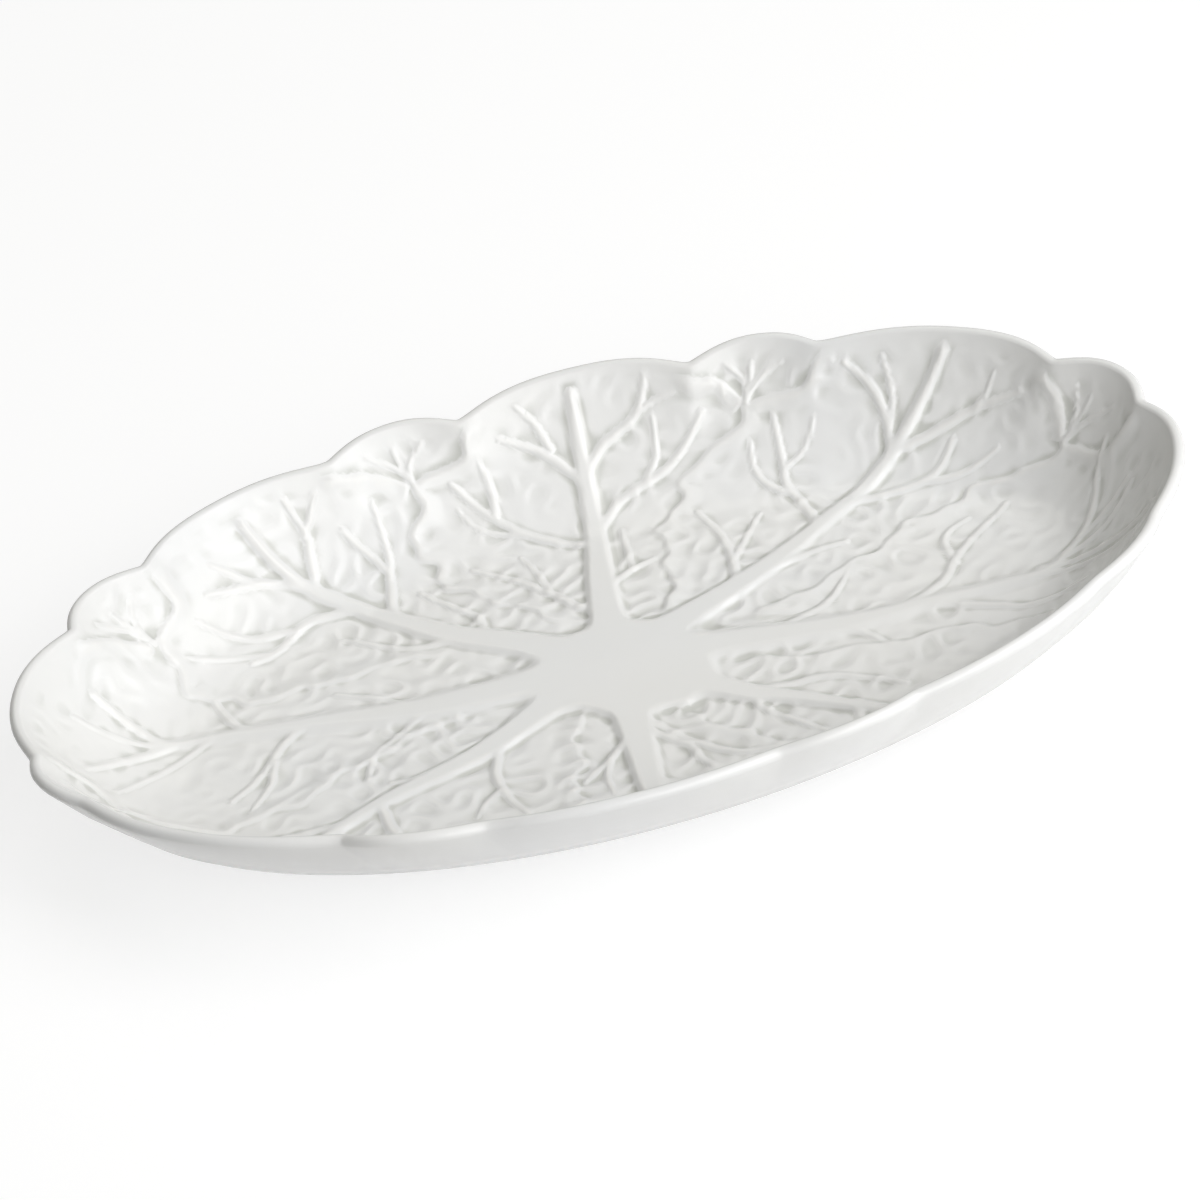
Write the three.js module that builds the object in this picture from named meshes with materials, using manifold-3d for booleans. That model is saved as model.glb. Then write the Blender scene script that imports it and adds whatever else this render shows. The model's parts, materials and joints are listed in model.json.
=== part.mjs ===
// An oval fish platter in white glazed stoneware, moulded as a rosette of eight overlapping cabbage leaves.
// Millimetres, +Z up. The origin is on the standing plane, under the middle of the oval.
// +X runs along the oval's long axis and +Y along its short one.
import * as THREE from "three";
import { mergeVertices } from "three/addons/utils/BufferGeometryUtils.js";
import Module from "manifold-3d";

// Overall form
const LENGTH = 430; // end to end, over the lip
const WIDTH = 264; // side to side, over the lip
const WELL_DEPTH = 41.5; // floor of the well up to the inner edge of the lip
const WALL_RUN = 52; // how far in from the lip the curved wall meets the flat floor

// Layers, from the leaf face down to the underside
const GLAZE = 0.8; // glaze coat, inside and out
const BOND = 0.25; // room left between the clay and its glaze
const CLAY_AT_RIM = 2.6; // clay wall at the lip
const CLAY_AT_FLOOR = 4.8; // clay under the floor

// Foot ring
const FOOT_HEIGHT = 3.6; // standing plane up to the glazed base
const FOOT_STAND = 4.5; // width of the flat standing face
const FOOT_SEAT = 7; // width where the ring is luted to the clay
const FOOT_CLEAR = 9; // wall's inner end to the outside of the ring
const LUTE = 0.3; // luting joint between the ring and the clay
const GLAZE_STOP = 0.4; // bare line left between the ring and the glaze beside it

// Lobes of the lip
const NOTCH_PULL = 0.034; // how far a notch of depth 1 draws the lip in, as a share of the radius
const NOTCH_DIP = 2.6; // how far the lip dips at a notch of depth 1
const NOTCH_ROUND = 0.35; // 0 makes a sharp notch
const LOBE_CREST = 2.6; // 2 makes a round lobe, more makes it flatter with tighter notches
const TIP_CREST = 2.2; // the same for a small tip
const LOBE_FADE = 0.22; // share of the radius over which the lobes die out inwards

// Relief on the leaf face
const HUB_FLANK = 3; // width of the slope round the hub
const RIB_START = 6; // half width of a main rib at the hub
const RIB_END = 1.6; // half width near the lip
const RIB_RISE = 2.1;
const RIB_WAIST = 0.7; // under 1, a rib narrows fastest near the hub
const VEIN_HALF = 1.8;
const VEIN_RISE = 1.4;
const VEIN_TAPER = 0.5; // share of its width that a vein loses on the way to its tip
const FORK_SIZE = 0.8; // a fork's width and rise, as a share of a stem's
const TWIG_SIZE = 0.6; // the same for a twig and for the short veins of a small tip
const EDGE_LAP = 6; // width over which a leaf edge lifts off the leaf under it
const EDGE_RISE = 1.1;
const EDGE_WAVES = 4; // ripples along the edge
const EDGE_RIPPLE = 0.05; // size of a ripple, across
const TIP_VEINS = [-0.5, 0, 0.45]; // bearings of the short veins in a small tip, as shares of its half angle
const TIP_ROOT = 0.9; // along, where the tip veins and the two leaf edges part
const TIP_VEIN_END = 0.965;
const TIP_SHOULDERS = { right: [0.925, -1], left: [0.965, 0.6] }; // bends of the two leaf edges round a tip
const NOTCH_SHARE = 0.985; // along, where a leaf edge runs out into its notch

// Fineness of the facets
const LOBE_STEPS = 5;
const TIP_STEPS = 3;
const WALL_STEPS = 6;
const LIP_STEPS = 3;
const RIDGE_FLATNESS = 0.75; // furthest that a straight stretch of a rib or vein strays from its course
const SLOPE_STEP = 1e-3; // half the step over the oval that a slope is read from
const AHEAD_STEP = 0.02; // half the step along a course that its direction is read from
const ANGLE_SLACK = 1e-9; // degrees
const WELD = 1e-4; // points closer than this are one

const stem = (...places) => ({ size: 1, places });
const fork = (...places) => ({ size: FORK_SIZE, places });
const twig = (...places) => ({ size: TWIG_SIZE, places });

// The leaves' ribs and veins. A place on a leaf is [along, across]: the share of the radius, and the share
// of the way from the leaf's bearing to the middle of the small tip beside it, above 0 on the left as
// seen from the hub. Leaves of one kind have the same veins on the wall and their own on the floor.
const SIDE_WALL = [
  stem([0.62, -0.04], [0.76, -0.4], [0.82, -0.63], [0.91, -0.75]),
  fork([0.77, -0.43], [0.83, -0.49], [0.91, -0.47]),
  stem([0.81, -0.05], [0.9, -0.34], [0.98, -0.44]),
  twig([0.92, -0.39], [0.96, -0.6]),
  stem([0.57, -0.03], [0.68, 0.45], [0.77, 0.65], [0.88, 0.79]),
  fork([0.77, 0.63], [0.86, 0.57], [0.94, 0.58]),
  twig([0.69, 0.47], [0.75, 0.77], [0.82, 0.84]),
  stem([0.79, -0.04], [0.87, 0.16], [0.94, 0.41]),
  fork([0.88, 0.14], [0.94, 0.19], [0.98, 0.27]),
];
const BACK_LEAF = {
  rib: [[0, 0], [0.32, 0], [0.57, -0.03], [0.97, -0.05]],
  ribWidth: 1,
  veins: [
    stem([0.33, 0], [0.42, -0.4], [0.45, -0.61]),
    fork([0.42, -0.4], [0.55, -0.28], [0.62, -0.24]),
    stem([0.25, 0.25], [0.41, 0.68], [0.54, 0.88], [0.64, 1.05]),
    fork([0.41, 0.66], [0.52, 0.62], [0.62, 0.64]),
    ...SIDE_WALL,
  ],
};
const FRONT_LEAF = {
  rib: [[0, 0], [0.26, -0.06], [0.57, -0.06], [0.97, -0.05]],
  ribWidth: 1.15,
  veins: [
    stem([0.35, -0.12], [0.44, -0.38], [0.5, -0.53]),
    fork([0.43, -0.35], [0.5, -0.36], [0.58, -0.3]),
    stem([0.35, 0.12], [0.45, 0.45], [0.58, 0.52]),
    stem([0.3, 0.15], [0.46, 0.56], [0.56, 0.82], [0.6, 1.12]),
    ...SIDE_WALL,
  ],
};
const QUARTER_WALL = [
  stem([0.57, -0.08], [0.68, 0.42], [0.78, 0.68], [0.88, 0.83]),
  fork([0.68, 0.42], [0.75, 0.82], [0.83, 0.94]),
  twig([0.76, 0.63], [0.81, 0.55], [0.88, 0.56]),
  stem([0.8, -0.06], [0.88, 0.12], [0.97, 0.46]),
  fork([0.86, 0.06], [0.91, 0.12], [0.97, 0.25]),
  stem([0.65, -0.1], [0.75, -0.37], [0.85, -0.34]),
  fork([0.75, -0.37], [0.8, -0.55], [0.86, -0.63]),
  stem([0.81, -0.08], [0.91, -0.39], [0.95, -0.58]),
  twig([0.91, -0.37], [0.96, -0.38]),
];
const BACK_QUARTER_LEAF = {
  rib: [[0, 0], [0.19, -0.22], [0.33, -0.24], [0.63, -0.09], [0.98, -0.08]],
  ribWidth: 1,
  veins: [
    stem([0.33, -0.1], [0.41, 0.34], [0.52, 0.78], [0.64, 1.16]),
    fork([0.4, 0.3], [0.52, 0.5], [0.61, 0.59]),
    stem([0.35, -0.2], [0.43, -0.36], [0.52, -0.53]),
    ...QUARTER_WALL,
  ],
};
const FRONT_QUARTER_LEAF = {
  rib: [[0, 0], [0.17, 0.1], [0.33, 0.13], [0.56, -0.09], [0.97, -0.05]],
  ribWidth: 1,
  veins: [
    stem([0.31, 0.13], [0.43, 0.58], [0.52, 0.89], [0.6, 1.15]),
    fork([0.49, 0.79], [0.53, 0.75], [0.59, 0.78]),
    stem([0.4, 0.05], [0.47, -0.14], [0.5, -0.3]),
    ...QUARTER_WALL,
  ],
};
const LONG_WALL = [
  stem([0.59, 0.04], [0.71, -0.36], [0.78, -0.46], [0.88, -0.44]),
  fork([0.73, -0.41], [0.82, -0.6], [0.91, -0.72]),
  stem([0.79, 0.04], [0.89, -0.22], [0.97, -0.28]),
  fork([0.9, -0.23], [0.97, -0.46]),
  stem([0.81, 0.05], [0.87, 0.24], [0.91, 0.51]),
  fork([0.87, 0.22], [0.94, 0.34]),
  stem([0.7, 0.03], [0.74, 0.35], [0.75, 0.83]),
  fork([0.74, 0.4], [0.8, 0.63], [0.89, 0.7]),
  twig([0.74, 0.71], [0.85, 0.98]),
];
const BACK_LONG_LEAF = {
  rib: [[0, 0], [0.25, 0.05], [0.41, 0.12], [0.71, 0.01], [0.84, 0.06], [0.96, 0.03]],
  ribWidth: 1,
  veins: [
    stem([0.34, 0.08], [0.43, -0.37], [0.52, -0.41], [0.64, -0.44]),
    stem([0.38, 0.12], [0.45, 0.46], [0.54, 0.46], [0.63, 0.41]),
    ...LONG_WALL,
  ],
};
const FRONT_LONG_LEAF = {
  rib: [[0, 0], [0.17, -0.17], [0.3, -0.23], [0.46, -0.07], [0.7, 0.02], [0.97, 0.02]],
  ribWidth: 1,
  veins: [
    stem([0.36, -0.2], [0.43, -0.42], [0.62, -0.46]),
    stem([0.36, -0.18], [0.45, 0.4], [0.54, 0.46], [0.63, 0.41]),
    ...LONG_WALL,
  ],
};
const RIGHT_END_LEAF = {
  rib: [[0, 0], [0.14, -0.18], [0.37, -0.33], [0.56, -0.12], [0.74, -0.02], [0.8, 0.13]],
  ribWidth: 1.2,
  veins: [
    stem([0.3, -0.1], [0.38, 0.43], [0.46, 1]),
    stem([0.52, -0.12], [0.58, 0.23], [0.66, 0.72], [0.77, 0.99]),
    fork([0.61, 0.45], [0.62, 0.8], [0.7, 1.02]),
    stem([0.79, 0.11], [0.84, 0.3], [0.94, 0.72]),
    fork([0.82, 0.23], [0.87, 0.28], [0.93, 0.33]),
    fork([0.79, 0.1], [0.87, 0.16], [0.93, 0.27]),
    stem([0.75, 0.05], [0.85, -0.05], [0.97, -0.3]),
    fork([0.69, -0.03], [0.78, -0.06], [0.94, -0.36]),
    stem([0.54, -0.13], [0.68, -0.4], [0.84, -0.41]),
    stem([0.36, -0.28], [0.46, -0.65], [0.51, -0.88]),
  ],
};
const LEFT_END_LEAF = {
  rib: [[0, 0], [0.27, 0.27], [0.38, 0.17], [0.62, -0.08], [0.82, -0.06]],
  ribWidth: 1.2,
  veins: [
    stem([0.36, 0.15], [0.43, -0.35], [0.52, -0.58]),
    stem([0.6, -0.07], [0.7, -0.36], [0.81, -0.77]),
    stem([0.55, -0.03], [0.61, 0.5], [0.71, 0.9]),
    fork([0.61, 0.51], [0.64, 0.88], [0.7, 1.14]),
    stem([0.33, 0.25], [0.42, 0.88], [0.51, 1.42]),
    stem([0.8, -0.08], [0.88, -0.27], [0.93, -0.36]),
    twig([0.82, -0.06], [0.94, -0.07]),
    stem([0.79, -0.08], [0.86, 0.18], [0.92, 0.44]),
    fork([0.72, -0.11], [0.82, 0.34], [0.89, 0.64]),
  ],
};

// Where a leaf's edge over the next leaf comes out of the hub, how far it bulges over that leaf, across,
// and the skew of the bulge, which lies nearer to the lip above 1.
const edge = (along, across, bulge, skew) => ({ along, across, bulge, skew });

// A small tip: the angles from its middle to the notches on its right and left, and their depths.
const tip = (right, left, ...depths) => ({ right, left, depths });

// The leaves from the +X end towards +Y. bearing is in degrees round the oval, tip is the small tip on a
// leaf's left, and pocket is how far out, along, the hub ends between a leaf and the next.
const LEAVES = [
  {
    ...RIGHT_END_LEAF,
    bearing: -10,
    edge: edge(0.25, 0.8, 0.37, 1.6),
    tip: tip(11.5, 7.5, 0.7, 1),
    pocket: 0.12,
  },
  {
    ...BACK_QUARTER_LEAF,
    bearing: 45,
    edge: edge(0.18, 0.6, 0.58, 1.1),
    tip: tip(8, 6.5, 1, 1.5),
    pocket: 0.16,
  },
  {
    ...BACK_LEAF,
    bearing: 87,
    edge: edge(0.25, 0.95, 0.37, 1.1),
    tip: tip(7.5, 7.5, 1.6, 1),
    pocket: 0.175,
  },
  {
    ...BACK_LONG_LEAF,
    bearing: 125,
    edge: edge(0.36, 0.45, 0.62, 1.1),
    tip: tip(7.5, 7.5, 1, 0.9),
    pocket: 0.14,
  },
  {
    ...LEFT_END_LEAF,
    bearing: 170,
    edge: edge(0.25, 0.85, 0.37, 1.6),
    tip: tip(7.5, 7.5, 0.5, 0.5),
    pocket: 0.14,
  },
  {
    ...FRONT_QUARTER_LEAF,
    bearing: 219,
    edge: edge(0.18, 1.05, 0.43, 1.1),
    tip: tip(7.5, 7.5, 1, 1),
    pocket: 0.19,
  },
  {
    ...FRONT_LEAF,
    bearing: 270,
    edge: edge(0.3, 0.85, 0.37, 1.6),
    tip: tip(7.5, 7.5, 1, 1),
    pocket: 0.29,
  },
  {
    ...FRONT_LONG_LEAF,
    bearing: 306,
    edge: edge(0.25, 0.85, 0.37, 1.6),
    tip: tip(7.5, 7.5, 0.4, 0.3),
    pocket: 0.17,
  },
];

// Sizes that follow
const LIP = CLAY_AT_RIM + 2 * (GLAZE + BOND);
const RIM_SLOPE = Math.atan((2 * WELL_DEPTH) / WALL_RUN);
const LIP_REACH = (LIP / 2) * (1 + Math.sin(RIM_SLOPE));
const HALF_LENGTH = LENGTH / 2 - LIP_REACH;
const HALF_WIDTH = WIDTH / 2 - LIP_REACH;
const FLOOR = FOOT_HEIGHT + 2 * (GLAZE + BOND) + CLAY_AT_FLOOR;
const FOOT_INSET = WALL_RUN + FOOT_CLEAR + FOOT_SEAT / 2;
const RIDGE_ROOT = GLAZE + BOND; // how deep a rib or vein is rooted before the glaze is hollowed out
const RIDGE_SEAT = GLAZE / 2; // furthest that a straight stretch lifts off a hollow face

const wasm = await Module();
wasm.setup();

// The oval's layout

const radians = THREE.MathUtils.degToRad;
const turnsOf = (k) => Math.floor(k / LEAVES.length);
const leaf = (k) => LEAVES[k - LEAVES.length * turnsOf(k)];
const bearing = (k) => leaf(k).bearing + 360 * turnsOf(k);
const tipBearing = (k) => (bearing(k) + bearing(k + 1)) / 2;
const notchBearing = (k, side) => tipBearing(k) + (side > 0 ? leaf(k).tip.left : -leaf(k).tip.right);

// The lobes of the lip in order: each big leaf, then the small tip before the next big leaf.
const lobes = LEAVES.flatMap(({ tip }, k) => [
  {
    from: notchBearing(k - 1, 1),
    to: notchBearing(k, -1),
    depths: [leaf(k - 1).tip.depths[1], tip.depths[0]],
    crest: LOBE_CREST,
    steps: LOBE_STEPS,
  },
  {
    from: notchBearing(k, -1),
    to: notchBearing(k, 1),
    depths: tip.depths,
    crest: TIP_CREST,
    steps: TIP_STEPS,
  },
]);

// The bearings of the facets' columns, so that a column falls on every notch.
const columns = lobes.flatMap(({ from, to, steps }) =>
  Array.from({ length: steps }, (_, i) => radians(from + ((to - from) * i) / steps)),
);

// Depth of the notches round the lip, 0 at the crest of a lobe.
function notchAt(angle) {
  const first = lobes[0].from;
  const degrees = first + THREE.MathUtils.euclideanModulo(THREE.MathUtils.radToDeg(angle) - first, 360);
  const lobe = lobes.find(({ to }) => degrees <= to + ANGLE_SLACK) ?? lobes[0];
  const share = (degrees - lobe.from) / (lobe.to - lobe.from);
  const bend = (off) => Math.hypot(1 - off ** lobe.crest, NOTCH_ROUND);
  const hollow = (bend(0) - bend(Math.abs(2 * share - 1))) / (bend(0) - bend(1));
  return hollow * THREE.MathUtils.lerp(...lobe.depths, share);
}

// Distance from the middle of the oval to the lip's tangent at a bearing.
const reachAt = (angle) =>
  (HALF_LENGTH * HALF_WIDTH) / Math.hypot(HALF_WIDTH * Math.cos(angle), HALF_LENGTH * Math.sin(angle));

// Share of the radius at a distance in from the lip.
const shareAt = (inset, angle) => 1 - inset / reachAt(angle);

const polar = (share, angle) => new THREE.Vector2(share * Math.cos(angle), share * Math.sin(angle));

// A point of the leaf face. at is the place on the oval, as shares of its half length and half width.
// The wall is a parabola from the flat floor up to the lip, and the lobes draw the lip in and down.
function leafFace(at) {
  const share = at.length();
  const angle = at.angle();
  const fade = THREE.MathUtils.smoothstep(share, 1 - LOBE_FADE, 1);
  const notch = notchAt(angle) * fade;
  const climb = Math.max(0, 1 - ((1 - share) * reachAt(angle)) / WALL_RUN);
  const pull = 1 - NOTCH_PULL * notch;
  return new THREE.Vector3(
    HALF_LENGTH * at.x * pull,
    HALF_WIDTH * at.y * pull,
    FLOOR + WELL_DEPTH * climb ** 2 - NOTCH_DIP * notch,
  );
}

// The leaf face's upward normal, from the two slopes across it.
function faceNormal(at) {
  const slope = (x, y) =>
    leafFace(new THREE.Vector2(at.x + x, at.y + y)).sub(leafFace(new THREE.Vector2(at.x - x, at.y - y)));
  return slope(SLOPE_STEP, 0).cross(slope(0, SLOPE_STEP)).normalize();
}

// A point at a depth under the leaf face.
const under = (at, depth) => leafFace(at).addScaledVector(faceNormal(at), -depth);

// Thickness of the clay at a distance in from the lip.
const clayAt = (inset) => THREE.MathUtils.lerp(CLAY_AT_RIM, CLAY_AT_FLOOR, Math.min(1, inset / WALL_RUN));

// Depths of the layers under the leaf face, as functions of the distance in from the lip.
const LEAF_SIDE = () => 0;
const COAT_BACK = () => GLAZE;
const CLAY_TOP = () => GLAZE + BOND;
const CLAY_BOTTOM = (inset) => CLAY_TOP() + clayAt(inset);
const OUTER_BACK = (inset) => CLAY_BOTTOM(inset) + BOND;
const OUTSIDE = (inset) => OUTER_BACK(inset) + GLAZE;

// Rings and lofts

// One ring of points at a distance in from the lip.
const ringAt = (inset, depth) =>
  columns.map((angle) => under(polar(shareAt(inset, angle), angle), depth(inset)));

// The rings of the wall from its inner end up to the lip.
const wallRings = (depth) =>
  Array.from({ length: WALL_STEPS + 1 }, (_, i) => ringAt(WALL_RUN * (1 - i / WALL_STEPS), depth));

// The rings of a half-round lip whose radius leaves off the given depth all round.
function lipRings(depth) {
  const radius = LIP / 2 - depth;
  return Array.from({ length: LIP_STEPS }, (_, i) => {
    const swing = (Math.PI * (i + 1)) / (LIP_STEPS + 1);
    return columns.map((angle) => {
      const edge = polar(1, angle);
      const normal = faceNormal(edge);
      const round = new THREE.Vector3(-Math.sin(angle) * HALF_LENGTH, Math.cos(angle) * HALF_WIDTH, 0);
      const outward = round.cross(normal).normalize();
      return under(edge, LIP / 2)
        .addScaledVector(normal, radius * Math.cos(swing))
        .addScaledVector(outward, radius * Math.sin(swing));
    });
  });
}

const centre = (depth) => under(new THREE.Vector2(0, 0), depth(WALL_RUN));

// A closed surface through rings of equal count. With two poles it is capped at both ends,
// and without them the last ring joins the first.
function loft(rings, poles) {
  const count = rings[0].length;
  const points = rings.flat();
  const faces = [];
  const last = poles ? rings.length - 1 : rings.length;
  for (let i = 0; i < last; i++) {
    const near = i * count;
    const far = ((i + 1) % rings.length) * count;
    for (let j = 0; j < count; j++) {
      const next = (j + 1) % count;
      faces.push(near + j, far + j, far + next, near + j, far + next, near + next);
    }
  }
  if (poles) {
    const start = points.length;
    const rim = (rings.length - 1) * count;
    points.push(...poles);
    for (let j = 0; j < count; j++) {
      const next = (j + 1) % count;
      faces.push(start, j, next, start + 1, rim + next, rim + j);
    }
  }
  const geometry = new THREE.BufferGeometry().setFromPoints(points);
  geometry.setIndex(faces);
  return geometry;
}

// Joins

function solidOf(geometry) {
  const merged = mergeVertices(geometry, WELD);
  return new wasm.Manifold(
    new wasm.Mesh({
      numProp: 3,
      vertProperties: merged.attributes.position.array,
      triVerts: new Uint32Array(merged.index.array),
    }),
  );
}

function geometryOf(solid) {
  const { vertProperties, triVerts } = solid.getMesh();
  const geometry = new THREE.BufferGeometry();
  geometry.setAttribute("position", new THREE.BufferAttribute(vertProperties, 3));
  geometry.setIndex(new THREE.BufferAttribute(triVerts, 1));
  return geometry;
}

const joined = (geometries) => geometries.map(solidOf).reduce((whole, solid) => whole.add(solid));

// Ribs, veins and leaf edges

// Cross-sections from right to left, as shares of the half width and the rise.
// They start and end on the face.
const ROUND = [
  [-1, 0],
  [-0.55, 0.86],
  [0, 1],
  [0.55, 0.86],
  [1, 0],
];
const ROOF = [
  [-1, 0],
  [0, 1],
  [1, 0],
];
const LAP_TO_LEFT = [
  [-1, 0],
  [-0.12, 1],
  [0, 0],
];
const LAP_TO_RIGHT = [
  [0, 0],
  [0.12, 1],
  [1, 0],
];

const inPlan = (at) => new THREE.Vector2(at.x * HALF_LENGTH, at.y * HALF_WIDTH);
const onOval = (plan) => new THREE.Vector2(plan.x / HALF_LENGTH, plan.y / HALF_WIDTH);

// A cross-section with its two flanks carried on down to the root, and a keel half way between them
// that keeps the root of a broad one under the hollow of the wall.
function rooted(section, rise) {
  const carryOn = ([across], [inner, up]) => [across + ((across - inner) * RIDGE_ROOT) / (up * rise), 0];
  const right = carryOn(section[0], section[1]);
  const left = carryOn(section.at(-1), section.at(-2));
  const keel = [(right[0] + left[0]) / 2, 0];
  return [right, ...section.slice(1, -1), left, keel];
}

// The shares of a course where its straight stretches start, closer together where the course bends.
function stations(course, from, to) {
  const middle = (from + to) / 2;
  const chord = new THREE.Line3(leafFace(course(from)), leafFace(course(to)));
  const bend = leafFace(course(middle));
  const stray = chord.closestPointToPoint(bend, true, new THREE.Vector3()).sub(bend);
  const lift = stray.dot(faceNormal(course(middle)));
  if (stray.length() < RIDGE_FLATNESS && lift < RIDGE_SEAT) return [from];
  return [...stations(course, from, middle), ...stations(course, middle, to)];
}

// A ridge along a course over the leaf face, rooted under it and drawn out to a point at both ends.
// The course gives places on the oval for shares from 0 to 1, and swell the width and rise there.
// A rippled course has two stretches or more for each ripple, and its cross-sections stay square to
// the course without its ripples, so that they don't cross.
function ridge(course, section, halfWidth, rise, swell, ripples = 1) {
  const plan = (share) => inPlan(course(THREE.MathUtils.clamp(share, 0, 1)));
  const stretches = 2 * ripples;
  const starts = Array.from({ length: stretches }, (_, i) =>
    stations(course, i / stretches, (i + 1) / stretches),
  );
  const step = ripples > 1 ? 1 / stretches : AHEAD_STEP;
  const rings = starts.flat().slice(1).map((share) => {
    const ahead = plan(share + step).sub(plan(share - step)).normalize();
    const left = new THREE.Vector2(-ahead.y, ahead.x);
    const scale = swell(share);
    const height = rise * Math.sqrt(scale);
    return rooted(section, height).map(([across, up]) => {
      const at = onOval(plan(share).addScaledVector(left, across * halfWidth * scale));
      return under(at, up > 0 ? -up * height : RIDGE_ROOT);
    });
  });
  return loft(rings, [under(course(0), RIDGE_ROOT), under(course(1), GLAZE / 2)]);
}

// A place on one leaf: the share of the radius, and the share of the way from its rib to the next leaf,
// which is the one on the left where across is above 0.
function onLeaf(k, along, across) {
  const side = across > 0 ? tipBearing(k) : tipBearing(k - 1);
  return polar(along, radians(bearing(k) + Math.abs(across) * (side - bearing(k))));
}

const onSpline = (curve) => (share) => curve.getPoint(share);

// A smooth course through places on one leaf.
const through = (k, places) => onSpline(new THREE.SplineCurve(places.map((place) => onLeaf(k, ...place))));

const taper = (share) => 1 - VEIN_TAPER * share;

function mainRib(k) {
  const { rib, ribWidth } = leaf(k);
  const narrowing = (share) => THREE.MathUtils.lerp(ribWidth, RIB_END / RIB_START, share ** RIB_WAIST);
  return ridge(through(k, rib), ROUND, RIB_START, RIB_RISE, narrowing);
}

const veinRidge = (course, size) => ridge(course, ROOF, size * VEIN_HALF, size * VEIN_RISE, taper);

const sideVeins = (k) => leaf(k).veins.map(({ size, places }) => veinRidge(through(k, places), size));

// A place on the small tip after leaf k. across is the share of the angle to its left or right notch.
function onTip(k, along, across) {
  const half = notchBearing(k, across) - tipBearing(k);
  return polar(along, radians(tipBearing(k) + Math.abs(across) * half));
}

// Where leaf k laps over the next leaf: a rippled edge that bulges over it on the way out to the small tip,
// and then the two edges that part round that tip and run out to its notches.
function leafEdges(k) {
  const { along, across, bulge, skew } = leaf(k).edge;
  const swell = (share) => bulge * Math.sin(Math.PI * share ** skew);
  const ripple = (share) => EDGE_RIPPLE * Math.sin(2 * Math.PI * EDGE_WAVES * share);
  const straight = (share) => THREE.MathUtils.lerp(across, 1, share);
  const seam = (share) =>
    onLeaf(k, THREE.MathUtils.lerp(along, TIP_ROOT, share), straight(share) + swell(share) + ripple(share));
  const parting = onTip(k, TIP_ROOT, 0);
  const round = (shoulder, side) =>
    onSpline(new THREE.QuadraticBezierCurve(parting, onTip(k, ...shoulder), onTip(k, NOTCH_SHARE, side)));
  const even = () => 1;
  return [
    ridge(seam, LAP_TO_LEFT, EDGE_LAP, EDGE_RISE, even, EDGE_WAVES),
    ridge(round(TIP_SHOULDERS.right, -1), LAP_TO_LEFT, EDGE_LAP, EDGE_RISE, even),
    ridge(round(TIP_SHOULDERS.left, 1), LAP_TO_RIGHT, EDGE_LAP, EDGE_RISE, even),
  ];
}

function tipVeins(k) {
  return TIP_VEINS.map((share) => {
    const course = new THREE.LineCurve(onTip(k, TIP_ROOT, 0), onTip(k, TIP_VEIN_END, share));
    return veinRidge(onSpline(course), TWIG_SIZE);
  });
}

// How far out the hub reaches at a bearing: evenly from the end of one pocket to the end of the next.
function hubShare(angle) {
  const first = tipBearing(-1);
  const degrees = first + THREE.MathUtils.euclideanModulo(THREE.MathUtils.radToDeg(angle) - first, 360);
  const k = LEAVES.findIndex((_, i) => degrees <= tipBearing(i) + ANGLE_SLACK);
  const share = (degrees - tipBearing(k - 1)) / (tipBearing(k) - tipBearing(k - 1));
  return THREE.MathUtils.lerp(leaf(k - 1).pocket, leaf(k).pocket, share);
}

// The smooth low boss in the middle, where the main ribs run together.
function hub() {
  const ring = (out, depth) =>
    columns.map((angle) => under(polar(hubShare(angle) + out / reachAt(angle), angle), depth));
  const middle = new THREE.Vector2(0, 0);
  return loft(
    [ring(-HUB_FLANK / 2, -RIB_RISE), ring(HUB_FLANK / 2, RIDGE_ROOT)],
    [under(middle, -RIB_RISE), under(middle, RIDGE_ROOT)],
  );
}

// Pieces

// The fired clay dish: a plain shell with a half-round lip, thicker under the floor.
function clayBody() {
  const rings = [...wallRings(CLAY_TOP), ...lipRings(CLAY_TOP()), ...wallRings(CLAY_BOTTOM).reverse()];
  return loft(rings, [centre(CLAY_TOP), centre(CLAY_BOTTOM)]);
}

// The glaze over the leaves, the lip and the outside down to the foot ring. It carries the leaf relief:
// the leaves are built up on a dish of the full thickness, and the room for the clay is then taken out.
function glazeCoat() {
  const hem = WALL_RUN + FOOT_CLEAR - GLAZE_STOP;
  const below = (inset) => OUTSIDE(inset) + FOOT_HEIGHT;
  const dish = loft(
    [...wallRings(LEAF_SIDE), ...lipRings(0), ...wallRings(OUTSIDE).reverse()],
    [centre(LEAF_SIDE), centre(OUTSIDE)],
  );
  const room = loft(
    [
      ...wallRings(COAT_BACK),
      ...lipRings(GLAZE),
      ...wallRings(OUTER_BACK).reverse(),
      ringAt(hem, OUTER_BACK),
      ringAt(hem, below),
    ],
    [centre(COAT_BACK), centre(below)],
  );
  const leaves = LEAVES.flatMap((_, k) => [mainRib(k), ...sideVeins(k), ...leafEdges(k), ...tipVeins(k)]);
  return geometryOf(joined([dish, hub(), ...leaves]).subtract(solidOf(room)));
}

// The glaze panel on the underside, inside the foot ring.
function baseGlaze() {
  const edge = FOOT_INSET + FOOT_SEAT / 2 + GLAZE_STOP;
  return loft([ringAt(edge, OUTER_BACK), ringAt(edge, OUTSIDE)], [centre(OUTER_BACK), centre(OUTSIDE)]);
}

// The bare foot ring, luted under the clay: flat on the standing plane and wider at its seat.
function footRing() {
  const seat = FOOT_HEIGHT + GLAZE + BOND - LUTE;
  const ring = (offset, height) =>
    columns.map((angle) => leafFace(polar(shareAt(FOOT_INSET + offset, angle), angle)).setZ(height));
  return loft([
    ring(FOOT_SEAT / 2, seat),
    ring(-FOOT_SEAT / 2, seat),
    ring(-FOOT_STAND / 2, 0),
    ring(FOOT_STAND / 2, 0),
  ]);
}

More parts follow.
